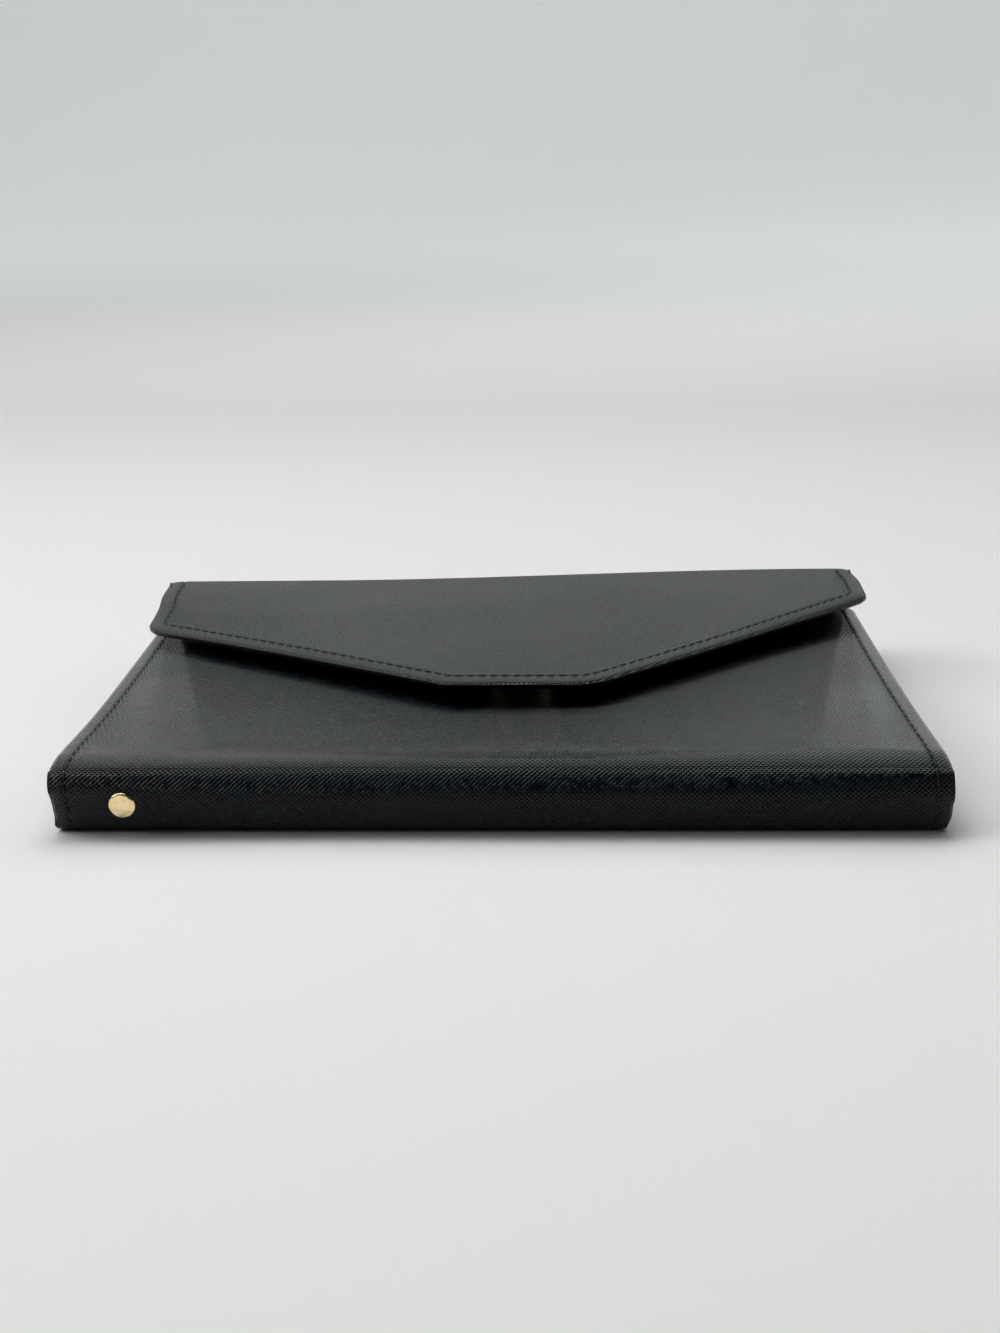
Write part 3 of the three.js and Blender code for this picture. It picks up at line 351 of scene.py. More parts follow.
def twisted_thread(name):
    """Black waxed thread."""
    material, tree, shader = blank_material(name, {"Roughness": 0.55, "Specular IOR Level": 0.35})
    vector, across, along = millimetres(tree, "flat")
    twist = put(tree, "ShaderNodeTexNoise", {"Vector": vector, "Scale": 4.0, "Detail": 2.0})
    painted(tree, shader, mixed(tree, twist.outputs[0], (0.003, 0.003, 0.004, 1), (0.012, 0.013, 0.015, 1)))
    turns = sums(tree, "MULTIPLY", sums(tree, "ADD", across, along), math.tau / 0.35)
    bumped(tree, shader, sums(tree, "SINE", turns), 0.05 * MM, 0.7)
    return material


def grey_board(name):
    """Pressed grey board, seen only where a panel is cut open."""
    material, tree, shader = blank_material(name, {"Roughness": 0.9, "Specular IOR Level": 0.2})
    vector, _, _ = millimetres(tree, "flat")
    fibres = put(tree, "ShaderNodeTexNoise", {"Vector": vector, "Scale": 1.2, "Detail": 5.0})
    painted(tree, shader, mixed(tree, fibres.outputs[0], (0.22, 0.19, 0.15, 1), (0.42, 0.37, 0.30, 1)))
    bumped(tree, shader, fibres.outputs[0], 0.05 * MM, 0.4)
    return material


def clear_film(name):
    """Slightly rippled clear film."""
    tint = {"Alpha": 0.25, "Base Color": (0.75, 0.79, 0.82, 1)}
    material, tree, shader = blank_material(name, {"Roughness": 0.08, "Specular IOR Level": 0.5, **tint})
    vector, _, _ = millimetres(tree, "flat")
    ripple = put(tree, "ShaderNodeTexNoise", {"Vector": vector, "Scale": 0.06, "Detail": 1.0})
    bumped(tree, shader, ripple.outputs[0], 0.4 * MM, 0.6)
    return material


LEATHER = cross_grain_leather("cross_grain_leather", "strip")
# The flap's copy of the same leather has half the coat, so it reflects less: painted shade on the flap.
SHADED_FLAP_LEATHER = cross_grain_leather("cross_grain_leather_flap_shaded", "strip", wax_and_shade=0.5)
FLAT_LEATHER = cross_grain_leather("cross_grain_leather_flat", "flat")
UPRIGHT_LEATHER = cross_grain_leather("cross_grain_leather_upright", "upright")
LINING_CLOTH = woven("lining_cloth", (0.018, 0.019, 0.022, 1))
TAPE_CLOTH = woven("zip_tape_cloth", (0.012, 0.012, 0.014, 1), pitch=0.6)
ELASTIC = woven("elastic_web", (0.014, 0.014, 0.016, 1), pitch=0.8, depth=0.1)
GOLD = gold_plate("gold_plate")
TEETH_GOLD = gold_plate("gold_zip", roughness=0.26)
RIVET_GOLD = gold_plate("gold_rivet", roughness=0.13, colour=(0.98, 0.72, 0.42, 1), dents=0.35)
THREAD = twisted_thread("black_thread")
BOARD = grey_board("grey_board")
FILM = clear_film("clear_film")


# Outlines and surfaces of the leather strip, in x and in v, the way along the unrolled strip

class Outline:
    """A convex outline through corners (x, v, radius), anticlockwise. The open_edges are seams."""

    def __init__(self, corners, open_edges=()):
        self.corners = corners
        self.count = len(corners)
        self.open_edges = open_edges

    def corner(self, i):
        x, v, radius = self.corners[i % self.count]
        return np.array([x, v], float), radius

    def distance(self, x, v):
        """How far points lie inside the free edges."""
        p = np.stack([np.asarray(x, float), np.asarray(v, float)], -1)
        d = np.full(p.shape[:-1], 1e3)
        for i in range(self.count):
            if i in self.open_edges:
                continue
            (a, _), (b, _) = self.corner(i), self.corner(i + 1)
            along = (b - a) / np.linalg.norm(b - a)
            d = np.minimum(d, (p - a) @ np.array([-along[1], along[0]]))
        for i in range(self.count):
            at, radius = self.corner(i)
            if radius <= 0:
                continue
            back = self.corner(i - 1)[0] - at
            on = self.corner(i + 1)[0] - at
            back = back / np.linalg.norm(back)
            on = on / np.linalg.norm(on)
            inwards = (back + on) / np.linalg.norm(back + on)
            half_angle = math.acos(np.clip(back @ on, -1, 1)) / 2
            centre = at + inwards * radius / math.sin(half_angle)
            rel = p - centre
            sector = (rel @ back < 0) & (rel @ on < 0)
            d = np.where(sector, radius - np.linalg.norm(rel, axis=-1), d)
        return d

    def width_at(self, v, side, inset=0.0):
        """The x at each v of the line inset from the outline, on the side -1 or 1, found by halving."""
        v = np.asarray(v, float)
        middle = sum(c[0] for c in self.corners[:2]) / 2
        low = np.full(v.shape, middle)
        high = np.full(v.shape, side * (HALF + 1.0))
        for _ in range(50):
            mid = (low + high) / 2
            inside = self.distance(mid, v) > inset
            low = np.where(inside, mid, low)
            high = np.where(inside, high, mid)
        return low


def smooth(t):
    t = np.clip(t, 0, 1)
    return t * t * (3 - 2 * t)


def near_reach(x):
    """Reach in y and z of the near-top fold: crisp at the rivet's end, fuller in the middle."""
    across = 8.5 + 6.5 * smooth((x + 96) / 45) * smooth((100 - x) / 40)
    upright = 5.2 + 2.2 * smooth((x + 94) / 60)
    return across, upright


def near_profile():
    """The near-top fold's profile: its slope, in degrees along its length, added up to a unit shape."""
    stops = [(0, 90), (1.4, 80), (2.6, 58), (5.6, 45), (7.2, 30), (8.8, 15), (10.6, 8), (13.8, 4), (20, 0)]
    lengths, slopes = zip(*stops)
    s = np.linspace(0, lengths[-1], 500)
    slope = np.radians(np.interp(s, lengths, slopes))
    y = np.concatenate([[0], np.cumsum((np.cos(slope[1:]) + np.cos(slope[:-1])) / 2)])
    z = np.concatenate([[0], np.cumsum((np.sin(slope[1:]) + np.sin(slope[:-1])) / 2)])
    return s / s[-1], y / y[-1], z / z[-1]


NEAR_PROFILE = near_profile()


def unevenness(x, y):
    """Gentle waviness of a big leather surface, outwards."""
    return (
        0.10 * np.sin(x / 23.0 + 0.6) * np.sin(y / 17.0 + 1.1)
        + 0.06 * np.sin(x / 9.7 + y / 13.0)
        + 0.04 * np.sin(y / 6.1 - x / 31.0)
    )


def near_ends(x, y, z):
    """The strip's ends stand a little past the solids: widest at the near spine, drawn in at the table."""
    height = np.clip(z / COVER_TOP, 0, 1)
    towards_spine = smooth((-8 - y) / 42.0)
    left = 1.25 * towards_spine - 0.6 * smooth((0.95 - height) / 0.8) - 0.4 * smooth((0.12 - height) / 0.1)
    right = 0.6 + 0.6 * towards_spine + 0.2 * np.sin(math.pi * height) - 0.9 * smooth((0.24 - height) / 0.22)
    share = smooth((np.abs(x) / HALF - 0.6) / 0.4)
    return x + share * np.where(x < 0, -left, right)


def piecewise(v, lengths):
    """Splits the way along a profile: which stretch v is on, as shares 0 to 1 of each stretch in turn."""
    shares = []
    start = 0.0
    for length in lengths:
        shares.append(np.clip((v - start) / length, 0, 1))
        start += length
    return shares


class Surface:
    """Outer face of one leather piece. lengths are its stretches: wall, fold and panel."""

    def __init__(self, lengths):
        self.lengths = lengths
        self.end = sum(lengths)
        self.fold = (lengths[0], lengths[0] + lengths[1])
        self.thin = min(lengths[1], 8.0) - 0.2

    def thickness(self, v):
        """Thin leather in the fold, leather round a board beyond it."""
        before = smooth((self.fold[0] + 0.2 - v) / 1.2)
        after = smooth((v - self.fold[0] - self.thin) / 1.2)
        return FOLD_LEATHER + (PANEL_LEATHER - FOLD_LEATHER) * np.maximum(before, after)

    def way_along(self, x, v):
        """How long the leather is from its start to each v, measured at constant x."""
        spots = np.linspace(-HALF, HALF, 61)
        stops = np.linspace(0, self.end, 601)
        xs, vs = np.meshgrid(spots, stops, indexing="ij")
        steps = np.linalg.norm(np.diff(self.points(xs, vs), axis=1), axis=-1)
        lengths = np.concatenate([np.zeros((len(spots), 1)), steps.cumsum(axis=1)], axis=1)
        column = np.clip((x + HALF) / (spots[1] - spots[0]), 0, len(spots) - 1.001)
        row = np.clip(v / (stops[1] - stops[0]), 0, len(stops) - 1.001)
        c, r = column.astype(int), row.astype(int)
        p, q = column - c, row - r
        low = lengths[c, r] * (1 - q) + lengths[c, r + 1] * q
        high = lengths[c + 1, r] * (1 - q) + lengths[c + 1, r + 1] * q
        return low * (1 - p) + high * p

    def grid(self, x, v):
        """Points and inward normals for arrays of x and v."""
        p = self.points(x, v)
        step = 0.02
        across = self.points(x + step, v) - self.points(x - step, v)
        along = self.points(x, v + step) - self.points(x, v - step)
        normal = np.cross(across, along) * self.side
        normal /= np.linalg.norm(normal, axis=-1, keepdims=True)
        return p, normal


class CoverSurface(Surface):
    """From the middle of the near spine up, over the near-top fold and along the front cover."""

    side = -1

    def __init__(self):
        across, upright = near_reach(np.array(0.0))
        wall = COVER_TOP - upright - NEAR_MIDDLE
        super().__init__((float(wall), 20.0, float(COVER_END - NEAR - across)))

    def points(self, x, v):
        wall, fold, panel = piecewise(v, self.lengths)
        a, b = near_reach(x)
        share, out, up = NEAR_PROFILE
        y = NEAR + a * np.interp(fold, share, out) + panel * (COVER_END - NEAR - a)
        z = NEAR_MIDDLE + wall * (COVER_TOP - b - NEAR_MIDDLE) + b * np.interp(fold, share, up)
        z = z + unevenness(x, y) * smooth((panel * self.lengths[2] - 4) / 16)
        z = z + NEAR_CROWN * fold * np.exp(-(((y - NEAR - 6) / 14) ** 2))
        y = y - spine_bulge(x, z) * (1 - smooth(fold / 0.4))
        return np.stack([near_ends(x, y, z), y, z], -1)


def spine_bulge(x, z):
    """The near spine is a little full between its folds."""
    return 0.25 * np.sin(math.pi * np.clip(z / COVER_TOP, 0, 1)) * (1 - (np.abs(x) / HALF) ** 6)


class BackSurface(Surface):
    """From the middle of a spine down, round a bottom fold and along the underside to the back's middle."""

    def __init__(self, near):
        self.near = near
        self.side = 1 if near else -1
        top = NEAR_MIDDLE if near else FAR_MIDDLE
        edge = NEAR if near else FAR
        self.top = top
        self.edge = edge
        self.way = 1 if near else -1
        super().__init__((top - BOTTOM_R, BOTTOM_R * math.pi / 2, abs(BACK_MIDDLE - edge) - BOTTOM_R))

    def points(self, x, v):
        wall, fold, panel = piecewise(v, self.lengths)
        turn = fold * math.pi / 2
        radius = 1.5 - 0.5 * smooth((x + 80) / 100) if self.near else BOTTOM_R
        reach = abs(BACK_MIDDLE - self.edge) - radius
        y = self.edge + self.way * (radius * (1 - np.cos(turn)) + panel * reach)
        z = self.top - wall * (self.top - radius) - radius * np.sin(turn)
        if self.near:
            y = y - spine_bulge(x, z) * (1 - smooth(fold))
            x = near_ends(x, y + 0 * z, z)
        return np.stack([x + 0 * v, y + 0 * x, z + 0 * x], -1)


def flap_lift(x, y):
    """How far the flap stands above its flat place: full at the far fold, drooping at the rivet's end."""
    far = 1.6 + 2.4 * smooth((x + 50.0) / 135.0)
    back = np.clip((y - FLAP_TIP) / 74.0, 0, 1.02) ** 2.2
    droop = 1.7 * np.clip(-x / HALF, 0, 1) ** 3 * smooth((FAR - 6 - y) / 26.0)
    return far * back - droop


class FlapSurface(Surface):
    """From the middle of the far spine up, over the far-top fold and along the flap to its tip."""

    side = 1

    def __init__(self):
        wall = FLAP_TOP - FAR_FOLD_Z - FAR_MIDDLE
        super().__init__((wall, 4.6, FAR - FAR_FOLD_Y - FLAP_TIP))

    def points(self, x, v):
        wall, fold, panel = piecewise(v, self.lengths)
        turn = fold * math.pi / 2
        y = FAR - FAR_FOLD_Y * (1 - np.cos(turn)) - panel * self.lengths[2]
        top = FLAP_TOP + flap_lift(x, y)
        z = FAR_MIDDLE + wall * (top - FAR_FOLD_Z - FAR_MIDDLE) + FAR_FOLD_Z * np.sin(turn)
        z = z + 0.6 * unevenness(x + 40, y) * smooth(panel * self.lengths[2] / 12)
        share = smooth((x / HALF - 0.6) / 0.4)
        x = x + 1.4 * share * smooth((FAR - 1 - y) / 9.0)
        x = x - 0.9 * smooth((-x / HALF - 0.6) / 0.4) * smooth((y - 36.0) / 10.0)
        return np.stack([x + 0 * v, y + 0 * x, z], -1)

    def way_to(self, y):
        """The v of a point of the flap's flat part."""
        return self.fold[1] + FAR - FAR_FOLD_Y - y


def edge_steps(stitch):
    """Distances from a free edge at which the mesh has lines: close together at the edge and the seam."""
    rim = [0, 0.03, 0.12, 0.28, 0.5, 0.78, 1.1, 1.5, 2.1]
    seam = [stitch + step for step in (-0.9, -0.5, -0.25, 0, 0.25, 0.5, 0.9, 1.8, 3.2)]
    return np.array(rim + seam)


def rounded_edge(d, half_thickness):
    """How deep the outer face has sunk at distance d from the edge: a quarter circle."""
    t = 1 - np.clip(d / half_thickness, 0, 1)
    return half_thickness * (1 - np.sqrt(1 - t * t))


def wrap_length(d, half_thickness):
    """How much longer the way round the edge is than the flat way, at distance d from it."""
    t = 1 - np.clip(d / half_thickness, 0, 1)
    return half_thickness * (np.arcsin(t) - t)


def rows_and_columns(surface, outline, stitch, free_end, row_gap, columns, start):
    """Arrays of x and v that follow the outline, with lines gathered along its free edges."""
    steps = edge_steps(stitch)
    last = surface.end - (steps[-1] if free_end else 0)
    fold_rows = np.linspace(surface.fold[0] - 1.4, surface.fold[1] + 1.6, 34)
    wall_rows = np.linspace(0, fold_rows[0], 5)[:-1]
    if start > 0:
        wall_rows = np.array([])
        fold_rows = np.array([start])
    count = max(2, int((last - fold_rows[-1]) / row_gap))
    panel_rows = np.linspace(fold_rows[-1], last, count + 1)[1:]
    v = np.concatenate([wall_rows, fold_rows, panel_rows])
    if free_end:
        v = np.concatenate([v, (surface.end - steps[:-1])[::-1]])
    sides = []
    for side in (-1, 1):
        edge = outline.width_at(np.minimum(v, surface.end - 1e-4), side)
        slope = np.gradient(edge, v)
        stretch = np.clip(np.sqrt(1 + slope**2), 1, 1.5)
        sides.append((edge, stretch))
    (left, left_stretch), (right, right_stretch) = sides
    from_left = left[:, None] + steps[None, :] * left_stretch[:, None]
    from_right = right[:, None] - steps[None, ::-1] * right_stretch[:, None]
    t = np.linspace(0, 1, columns + 2)[1:-1]
    between = from_left[:, -1:] + (from_right[:, :1] - from_left[:, -1:]) * t[None, :]
    x = np.concatenate([from_left, between, from_right], axis=1)
    return x, np.repeat(v[:, None], x.shape[1], axis=1)


def inward(outline, x, v):
    """Unit direction, in x and v, that leads away from the nearest free edge."""
    step = 0.05
    dx = outline.distance(x + step, v) - outline.distance(x - step, v)
    dv = outline.distance(x, v + step) - outline.distance(x, v - step)
    length = np.maximum(np.hypot(dx, dv), 1e-9)
    return dx / length, dv / length


def strip_slab(name, surface, outline, stitch, free_end, material, along_start, along_sign, row_gap=2.0,
               columns=60, sheet=None, depth=None, start=0.0, hem_drop=0.0):
    """One piece of the strip as a closed slab with rounded free edges and its unrolled map.

    Without sheet it is the outer leather. With it, it is a layer of that thickness: the lining under the
    leather or, with a depth, a board inside it.
    """
    x, v = rows_and_columns(surface, outline, stitch, free_end, row_gap, columns, start)
    d = outline.distance(x, v)
    d[:, 0] = 0
    d[:, -1] = 0
    if free_end:
        d[-1, :] = 0
    d = np.maximum(d, 0)
    points, normal = surface.grid(x, np.minimum(v, surface.end))
    full = surface.thickness(v)
    lined = sheet is not None
    thickness = np.full_like(v, sheet) if lined else full
    half = thickness / 2
    sink = rounded_edge(d, half)
    under = (full if depth is None else np.full_like(v, depth)) if lined else np.zeros_like(v)
    outer_depth = under + sink
    if not lined:
        outer_depth = outer_depth + SEAM_DIP * np.exp(-(((d - stitch) / 0.38) ** 2))
        outer_depth = outer_depth + hem_drop * np.clip(1 - d / stitch, 0, 1) ** 2 * smooth(d / 0.4)
    inner_depth = under + thickness - sink
    outer = points + normal * outer_depth[..., None]
    inner = points + normal * inner_depth[..., None]
    # the unrolled map: x, and the way along the whole strip; beyond an edge it runs on round the turned hem
    away_x, away_v = inward(outline, x, v)
    along = surface.way_along(x, np.minimum(v, surface.end))
    wrap = wrap_length(d, half)
    hem = 2 * wrap_length(np.zeros_like(d), half) + 2 * d - wrap

    def unrolled(extra):
        return np.stack([x - away_x * extra, along_start + along_sign * (along - away_v * extra)], -1)

    return slab_mesh(name, outer, inner, unrolled(wrap), unrolled(hem), free_end, surface.side < 0, material)


def slab_mesh(name, outer, inner, outer_map, inner_map, free_end, flip, material):
    """Closed mesh between an outer and an inner grid that meet along the free edges."""
    rows, columns = outer.shape[:2]
    count = rows * columns
    index = np.arange(count).reshape(rows, columns)
    under = index + count
    under[:, 0] = index[:, 0]
    under[:, -1] = index[:, -1]
    if free_end:
        under[-1, :] = index[-1, :]
    faces, maps = [], []

    def add(corners, coordinates):
        faces.append(corners[::-1] if flip else corners)
        maps.extend(coordinates[::-1] if flip else coordinates)

    for r in range(rows - 1):
        for c in range(columns - 1):
            cells = [(r, c), (r, c + 1), (r + 1, c + 1), (r + 1, c)]
            add([index[k] for k in cells][::-1], [outer_map[k] for k in cells][::-1])
            add([under[k] for k in cells], [inner_map[k] for k in cells])
    seam_rows = [0] if free_end else [0, rows - 1]
    seams = []
    for r in seam_rows:
        for c in range(columns - 1):
            quad = [index[r, c], index[r, c + 1], under[r, c + 1], under[r, c]]
            spots = [outer_map[r, c], outer_map[r, c + 1], inner_map[r, c + 1], inner_map[r, c]]
            kept = [k for k in range(4) if quad[k] not in quad[:k]]
            quad = [quad[k] for k in kept]
            spots = [spots[k] for k in kept]
            if r == 0:
                add(quad, spots)
            else:
                add(quad[::-1], spots[::-1])
            seams.append(len(faces) - 1)
    points = np.concatenate([outer.reshape(-1, 3), inner.reshape(-1, 3)]) * MM
    used = np.unique(np.concatenate([np.array(f) for f in faces]))
    renumber = np.full(2 * count, -1)
    renumber[used] = np.arange(len(used))
    mesh = bpy.data.meshes.new(name)
    mesh.from_pydata(points[used].tolist(), [], [[int(renumber[i]) for i in f] for f in faces])
    layer = mesh.uv_layers.new(name="strip")
    layer.data.foreach_set("uv", np.array(maps, np.float32).ravel())
    mesh.polygons.foreach_set("use_smooth", [True] * len(mesh.polygons))
    ends = {key for i in seams for key in mesh.polygons[i].edge_keys}
    for line in mesh.edges:
        if line.key in ends:
            line.use_edge_sharp = True
    mesh.materials.append(material)
    return linked(name, mesh)


def closed_sheet(name, upper, lower, flat_map, material):
    """A closed thin solid between two grids that lie one above the other."""
    rows, columns = upper.shape[:2]
    count = rows * columns
    index = np.arange(count).reshape(rows, columns)
    faces = []
    for r in range(rows - 1):
        for c in range(columns - 1):
            a, b, d, e = index[r, c], index[r, c + 1], index[r + 1, c + 1], index[r + 1, c]
            faces.append([a, b, d, e])
            faces.append([e + count, d + count, b + count, a + count])
    rim = list(index[0, :]) + list(index[1:, -1]) + list(index[-1, -2::-1]) + list(index[-2:0:-1, 0])
    for a, b in zip(rim, rim[1:] + rim[:1]):
        faces.append([b, a, a + count, b + count])
    points = np.concatenate([upper.reshape(-1, 3), lower.reshape(-1, 3)]) * MM
    mesh = bpy.data.meshes.new(name)
    mesh.from_pydata(points.tolist(), [], [[int(i) for i in face] for face in faces])
    flat = np.concatenate([flat_map.reshape(-1, 2)] * 2)
    layer = mesh.uv_layers.new(name="strip")
    corners = np.array([corner.vertex_index for corner in mesh.loops])
    layer.data.foreach_set("uv", flat[corners].astype(np.float32).ravel())
    mesh.shade_smooth()
    mesh.set_sharp_from_angle(angle=math.radians(50))
    mesh.materials.append(material)
    return linked(name, mesh)


def strip_rectangle(surface, free_end, radius=0.0, inset=0.0):
    """Outline of a piece that keeps the strip's full width. Edge 0 is the first seam, edge 2 the last."""
    half = HALF - inset
    end = surface.end - (inset if free_end else 0)
    corners = [(-half, 0, 0), (half, 0, 0), (half, end, radius), (-half, end, radius)]
    return Outline(corners, (0,) if free_end else (0, 2))


def flap_outline(surface, inset=0.0):
    """Outline of the far-top piece: as wide as the strip up to the side corners, then down to the tip."""
    half = HALF - inset
    left = surface.way_to(FAR - FLAP_SIDE_LEFT)
    right = surface.way_to(FAR - FLAP_SIDE_RIGHT)
    end = surface.end - inset
    corners = [
        (-half, 0, 0),
        (half, 0, 0),
        (half, right - inset * 0.3, FLAP_CORNER_RIGHT_R),
        (FLAP_TIP_X1 - inset * 0.3, end, FLAP_TIP_RIGHT_R),
        (FLAP_TIP_X0 + inset * 0.3, end, FLAP_TIP_LEFT_R),
        (-half, left - inset * 0.3, FLAP_CORNER_LEFT_R),
    ]
    return Outline(corners, (0,))


# Baking: a piece's placement is moved into its mesh


def bend(piece):
    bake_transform(piece)
    return piece


# The outer leather and its lining

COVER = CoverSurface()
BACK_NEAR = BackSurface(True)
BACK_FAR = BackSurface(False)
FLAP = FlapSurface()

# where each piece starts on the unrolled strip, and which way its own v runs on it
STRIP_START = {"cover": (0.0, 1), "back_near": (0.0, -1)}
STRIP_START["back_far"] = (-BACK_NEAR.end - BACK_FAR.end, 1)
STRIP_START["flap"] = (-BACK_NEAR.end - BACK_FAR.end, -1)

PIECES = {
    "cover": (COVER, lambda inset: strip_rectangle(COVER, True, COVER_CORNER_R, inset), STITCH_INSET, True),
    "back_near": (BACK_NEAR, lambda inset: strip_rectangle(BACK_NEAR, False, 0, inset), STITCH_INSET, False),
    "back_far": (BACK_FAR, lambda inset: strip_rectangle(BACK_FAR, False, 0, inset), STITCH_INSET, False),
    "flap": (FLAP, lambda inset: flap_outline(FLAP, inset), FLAP_STITCH_INSET, True),
}
REPLACED = {
    "cover": ("cover_skin", "near_top_fold", "spine_skin"),
    "back_near": ("back_skin", "near_bottom_fold"),
    "back_far": ("far_bottom_fold", "far_spine_skin"),
    "flap": ("flap_skin", "far_top_fold"),
}
REPLACED_LINING = {
    "cover": ("cover_lining", "spine_lining"),
    "back_near": ("back_lining",),
    "back_far": ("far_spine_lining",),
    "flap": ("flap_lining",),
}


def build_leather():
    for key, (surface, outline_for, stitch, free_end) in PIECES.items():
        start, sign = STRIP_START[key]
        outline = outline_for(0.0)
        # The flap takes the shaded copy of the leather: painted shade on the flap.
        cut = SHADED_FLAP_LEATHER if key == "flap" else LEATHER
        leather = strip_slab(key + "_leather", surface, outline, stitch, free_end, cut, start, sign,
                             hem_drop=FLAP_HEM_DROP if key == "flap" else HEM_DROP)
        bend(leather)
        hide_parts(*REPLACED[key])


class Shortened:
    """A surface whose free end stops earlier, for the lining."""

    def __init__(self, surface, by):
        self.surface = surface
        self.end = surface.end - by
        self.fold = surface.fold
        self.side = surface.side
        self.thickness = surface.thickness

    def grid(self, x, v):
        return self.surface.grid(x, v)

    def way_along(self, x, v):
        return self.surface.way_along(x, v)


def build_lining():
    for key, (surface, outline_for, stitch, free_end) in PIECES.items():
        start, sign = STRIP_START[key]
        outline = outline_for(LINING_INSET)
        shortened = Shortened(surface, LINING_INSET if free_end else 0)
        lining = strip_slab(key + "_lining_sheet", shortened, outline, stitch, free_end, LINING_CLOTH, start,
                            sign, row_gap=4.0, columns=30, sheet=LINING)
        bend(lining)
        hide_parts(*REPLACED_LINING[key])


def build_boards():
    """The boards of the cover and the flap follow the leather round them."""
    for key, body in (("cover", "front_cover"), ("flap", "flap")):
        surface, outline_for = PIECES[key][:2]
        start, sign = STRIP_START[key]
        shortened = Shortened(surface, BOARD_INSET)
        outline = outline_for(BOARD_INSET)
        board = strip_slab(key + "_board_sheet", shortened, outline, BOARD_BORDER, True, BOARD, start, sign,
                           row_gap=4.0, columns=24, sheet=BOARD_THICKNESS, depth=BOARD_DEPTH,
                           start=surface.fold[1] + BOARD_AFTER_FOLD)
        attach(board, body)
        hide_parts(key + "_board")


def build_spine_board():
    """The near spine's board ends below the long curve of the near-top fold."""
    x0, x1 = reach("spine_board", X)
    xs, zs = np.meshgrid(np.linspace(x0, x1, 60), np.linspace(*SPINE_BOARD_Z, 5))
    out = NEAR + BOARD_DEPTH - spine_bulge(xs, zs)
    outer = np.stack([xs, out, zs], -1)
    inner = np.stack([xs, out + SPINE_BOARD_THICKNESS, zs], -1)
    board = closed_sheet("spine_board_sheet", outer, inner, outer[..., ::2], BOARD)
    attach(board, "spine")
    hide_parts("spine_board")


# Stitches

def node_group(name, **kinds):
    """A Geometry Nodes tree that takes geometry and the named inputs, with its given sockets and its end."""
    tree = bpy.data.node_groups.new(name, "GeometryNodeTree")
    tree.interface.new_socket("Geometry", in_out="INPUT", socket_type="NodeSocketGeometry")
    for label, kind in kinds.items():
        tree.interface.new_socket(label, in_out="INPUT", socket_type=kind)
    tree.interface.new_socket("Geometry", in_out="OUTPUT", socket_type="NodeSocketGeometry")
    return tree, tree.nodes.new("NodeGroupInput").outputs, tree.nodes.new("NodeGroupOutput")


def close_group(tree, geometry, material, result):
    """Ends a tree: what was repeated is made real, then painted."""
    real = put(tree, "GeometryNodeRealizeInstances", {"Geometry": geometry})
    coloured = put(tree, "GeometryNodeSetMaterial", {"Geometry": real.outputs[0], "Material": material})
    tree.links.new(coloured.outputs[0], result.inputs[0])


def stitch_tree():
    """Geometry Nodes tree: a row of rounded stitches along a curve."""
    number = "NodeSocketFloat"
    tree, given, result = node_group("stitch_row", Pitch=number, Length=number, Thickness=number,
                                     Slant=number, Thread="NodeSocketMaterial")
    way = put(tree, "GeometryNodeMeshToCurve", {"Mesh": given["Geometry"]})
    spacing = {"Curve": way.outputs[0], "Length": given["Pitch"]}
    spaced = put(tree, "GeometryNodeResampleCurve", spacing, mode="LENGTH")
    tangent = put(tree, "GeometryNodeInputTangent")
    outwards = put(tree, "GeometryNodeInputNamedAttribute", {"Name": "outwards"}, data_type="FLOAT_VECTOR")
    facing = put(tree, "FunctionNodeAxesToRotation",
                 {"Primary Axis": tangent.outputs[0], "Secondary Axis": outwards.outputs[0]},
                 primary_axis="X", secondary_axis="Z")
    tip = put(tree, "ShaderNodeCombineXYZ", {"Z": given["Slant"]})
    slant = put(tree, "FunctionNodeRotateRotation", {0: facing.outputs[0], 1: tip.outputs[0]},
                rotation_space="LOCAL")
    ball = put(tree, "GeometryNodeMeshUVSphere", {"Segments": 8, "Rings": 6, "Radius": 0.5})
    size = {"X": given["Length"], "Y": given["Thickness"], "Z": given["Thickness"]}
    scale = put(tree, "ShaderNodeCombineXYZ", size)
    grain = put(tree, "GeometryNodeTransform", {"Geometry": ball.outputs["Mesh"], "Scale": scale.outputs[0]})
    rounded = put(tree, "GeometryNodeSetShadeSmooth", {"Geometry": grain.outputs[0]})
    copies = {"Points": spaced.outputs[0], "Instance": rounded.outputs[0], "Rotation": slant.outputs[0]}
    row = put(tree, "GeometryNodeInstanceOnPoints", copies)
    close_group(tree, row.outputs[0], given["Thread"], result)
    return tree


STITCH_TREE = stitch_tree()


def grown(name, lines, tree, values, outwards=None):
    """The plain mesh that a node tree grows along lines of points in millimetres."""
    edges, start = [], 0
    for line in lines:
        edges += [(start + i, start + i + 1) for i in range(len(line) - 1)]
        start += len(line)
    path = bpy.data.meshes.new(name + "_way")
    path.from_pydata((np.concatenate(lines) * MM).tolist(), edges, [])
    if outwards:
        store = path.attributes.new("outwards", "FLOAT_VECTOR", "POINT")
        store.data.foreach_set("vector", np.concatenate(outwards).astype(np.float32).ravel())
    way = linked(name + "_way", path)
    growth = way.modifiers.new("growth", "NODES")
    growth.node_group = tree
    for item in tree.interface.items_tree:
        if item.in_out == "INPUT" and item.name in values:
            growth[item.identifier] = values[item.name]
    bpy.context.view_layer.update()
    evaluated = way.evaluated_get(bpy.context.evaluated_depsgraph_get())
    mesh = bpy.data.meshes.new_from_object(evaluated)
    mesh.name = name
    way.modifiers.clear()
    bpy.data.objects.remove(way)
    return mesh


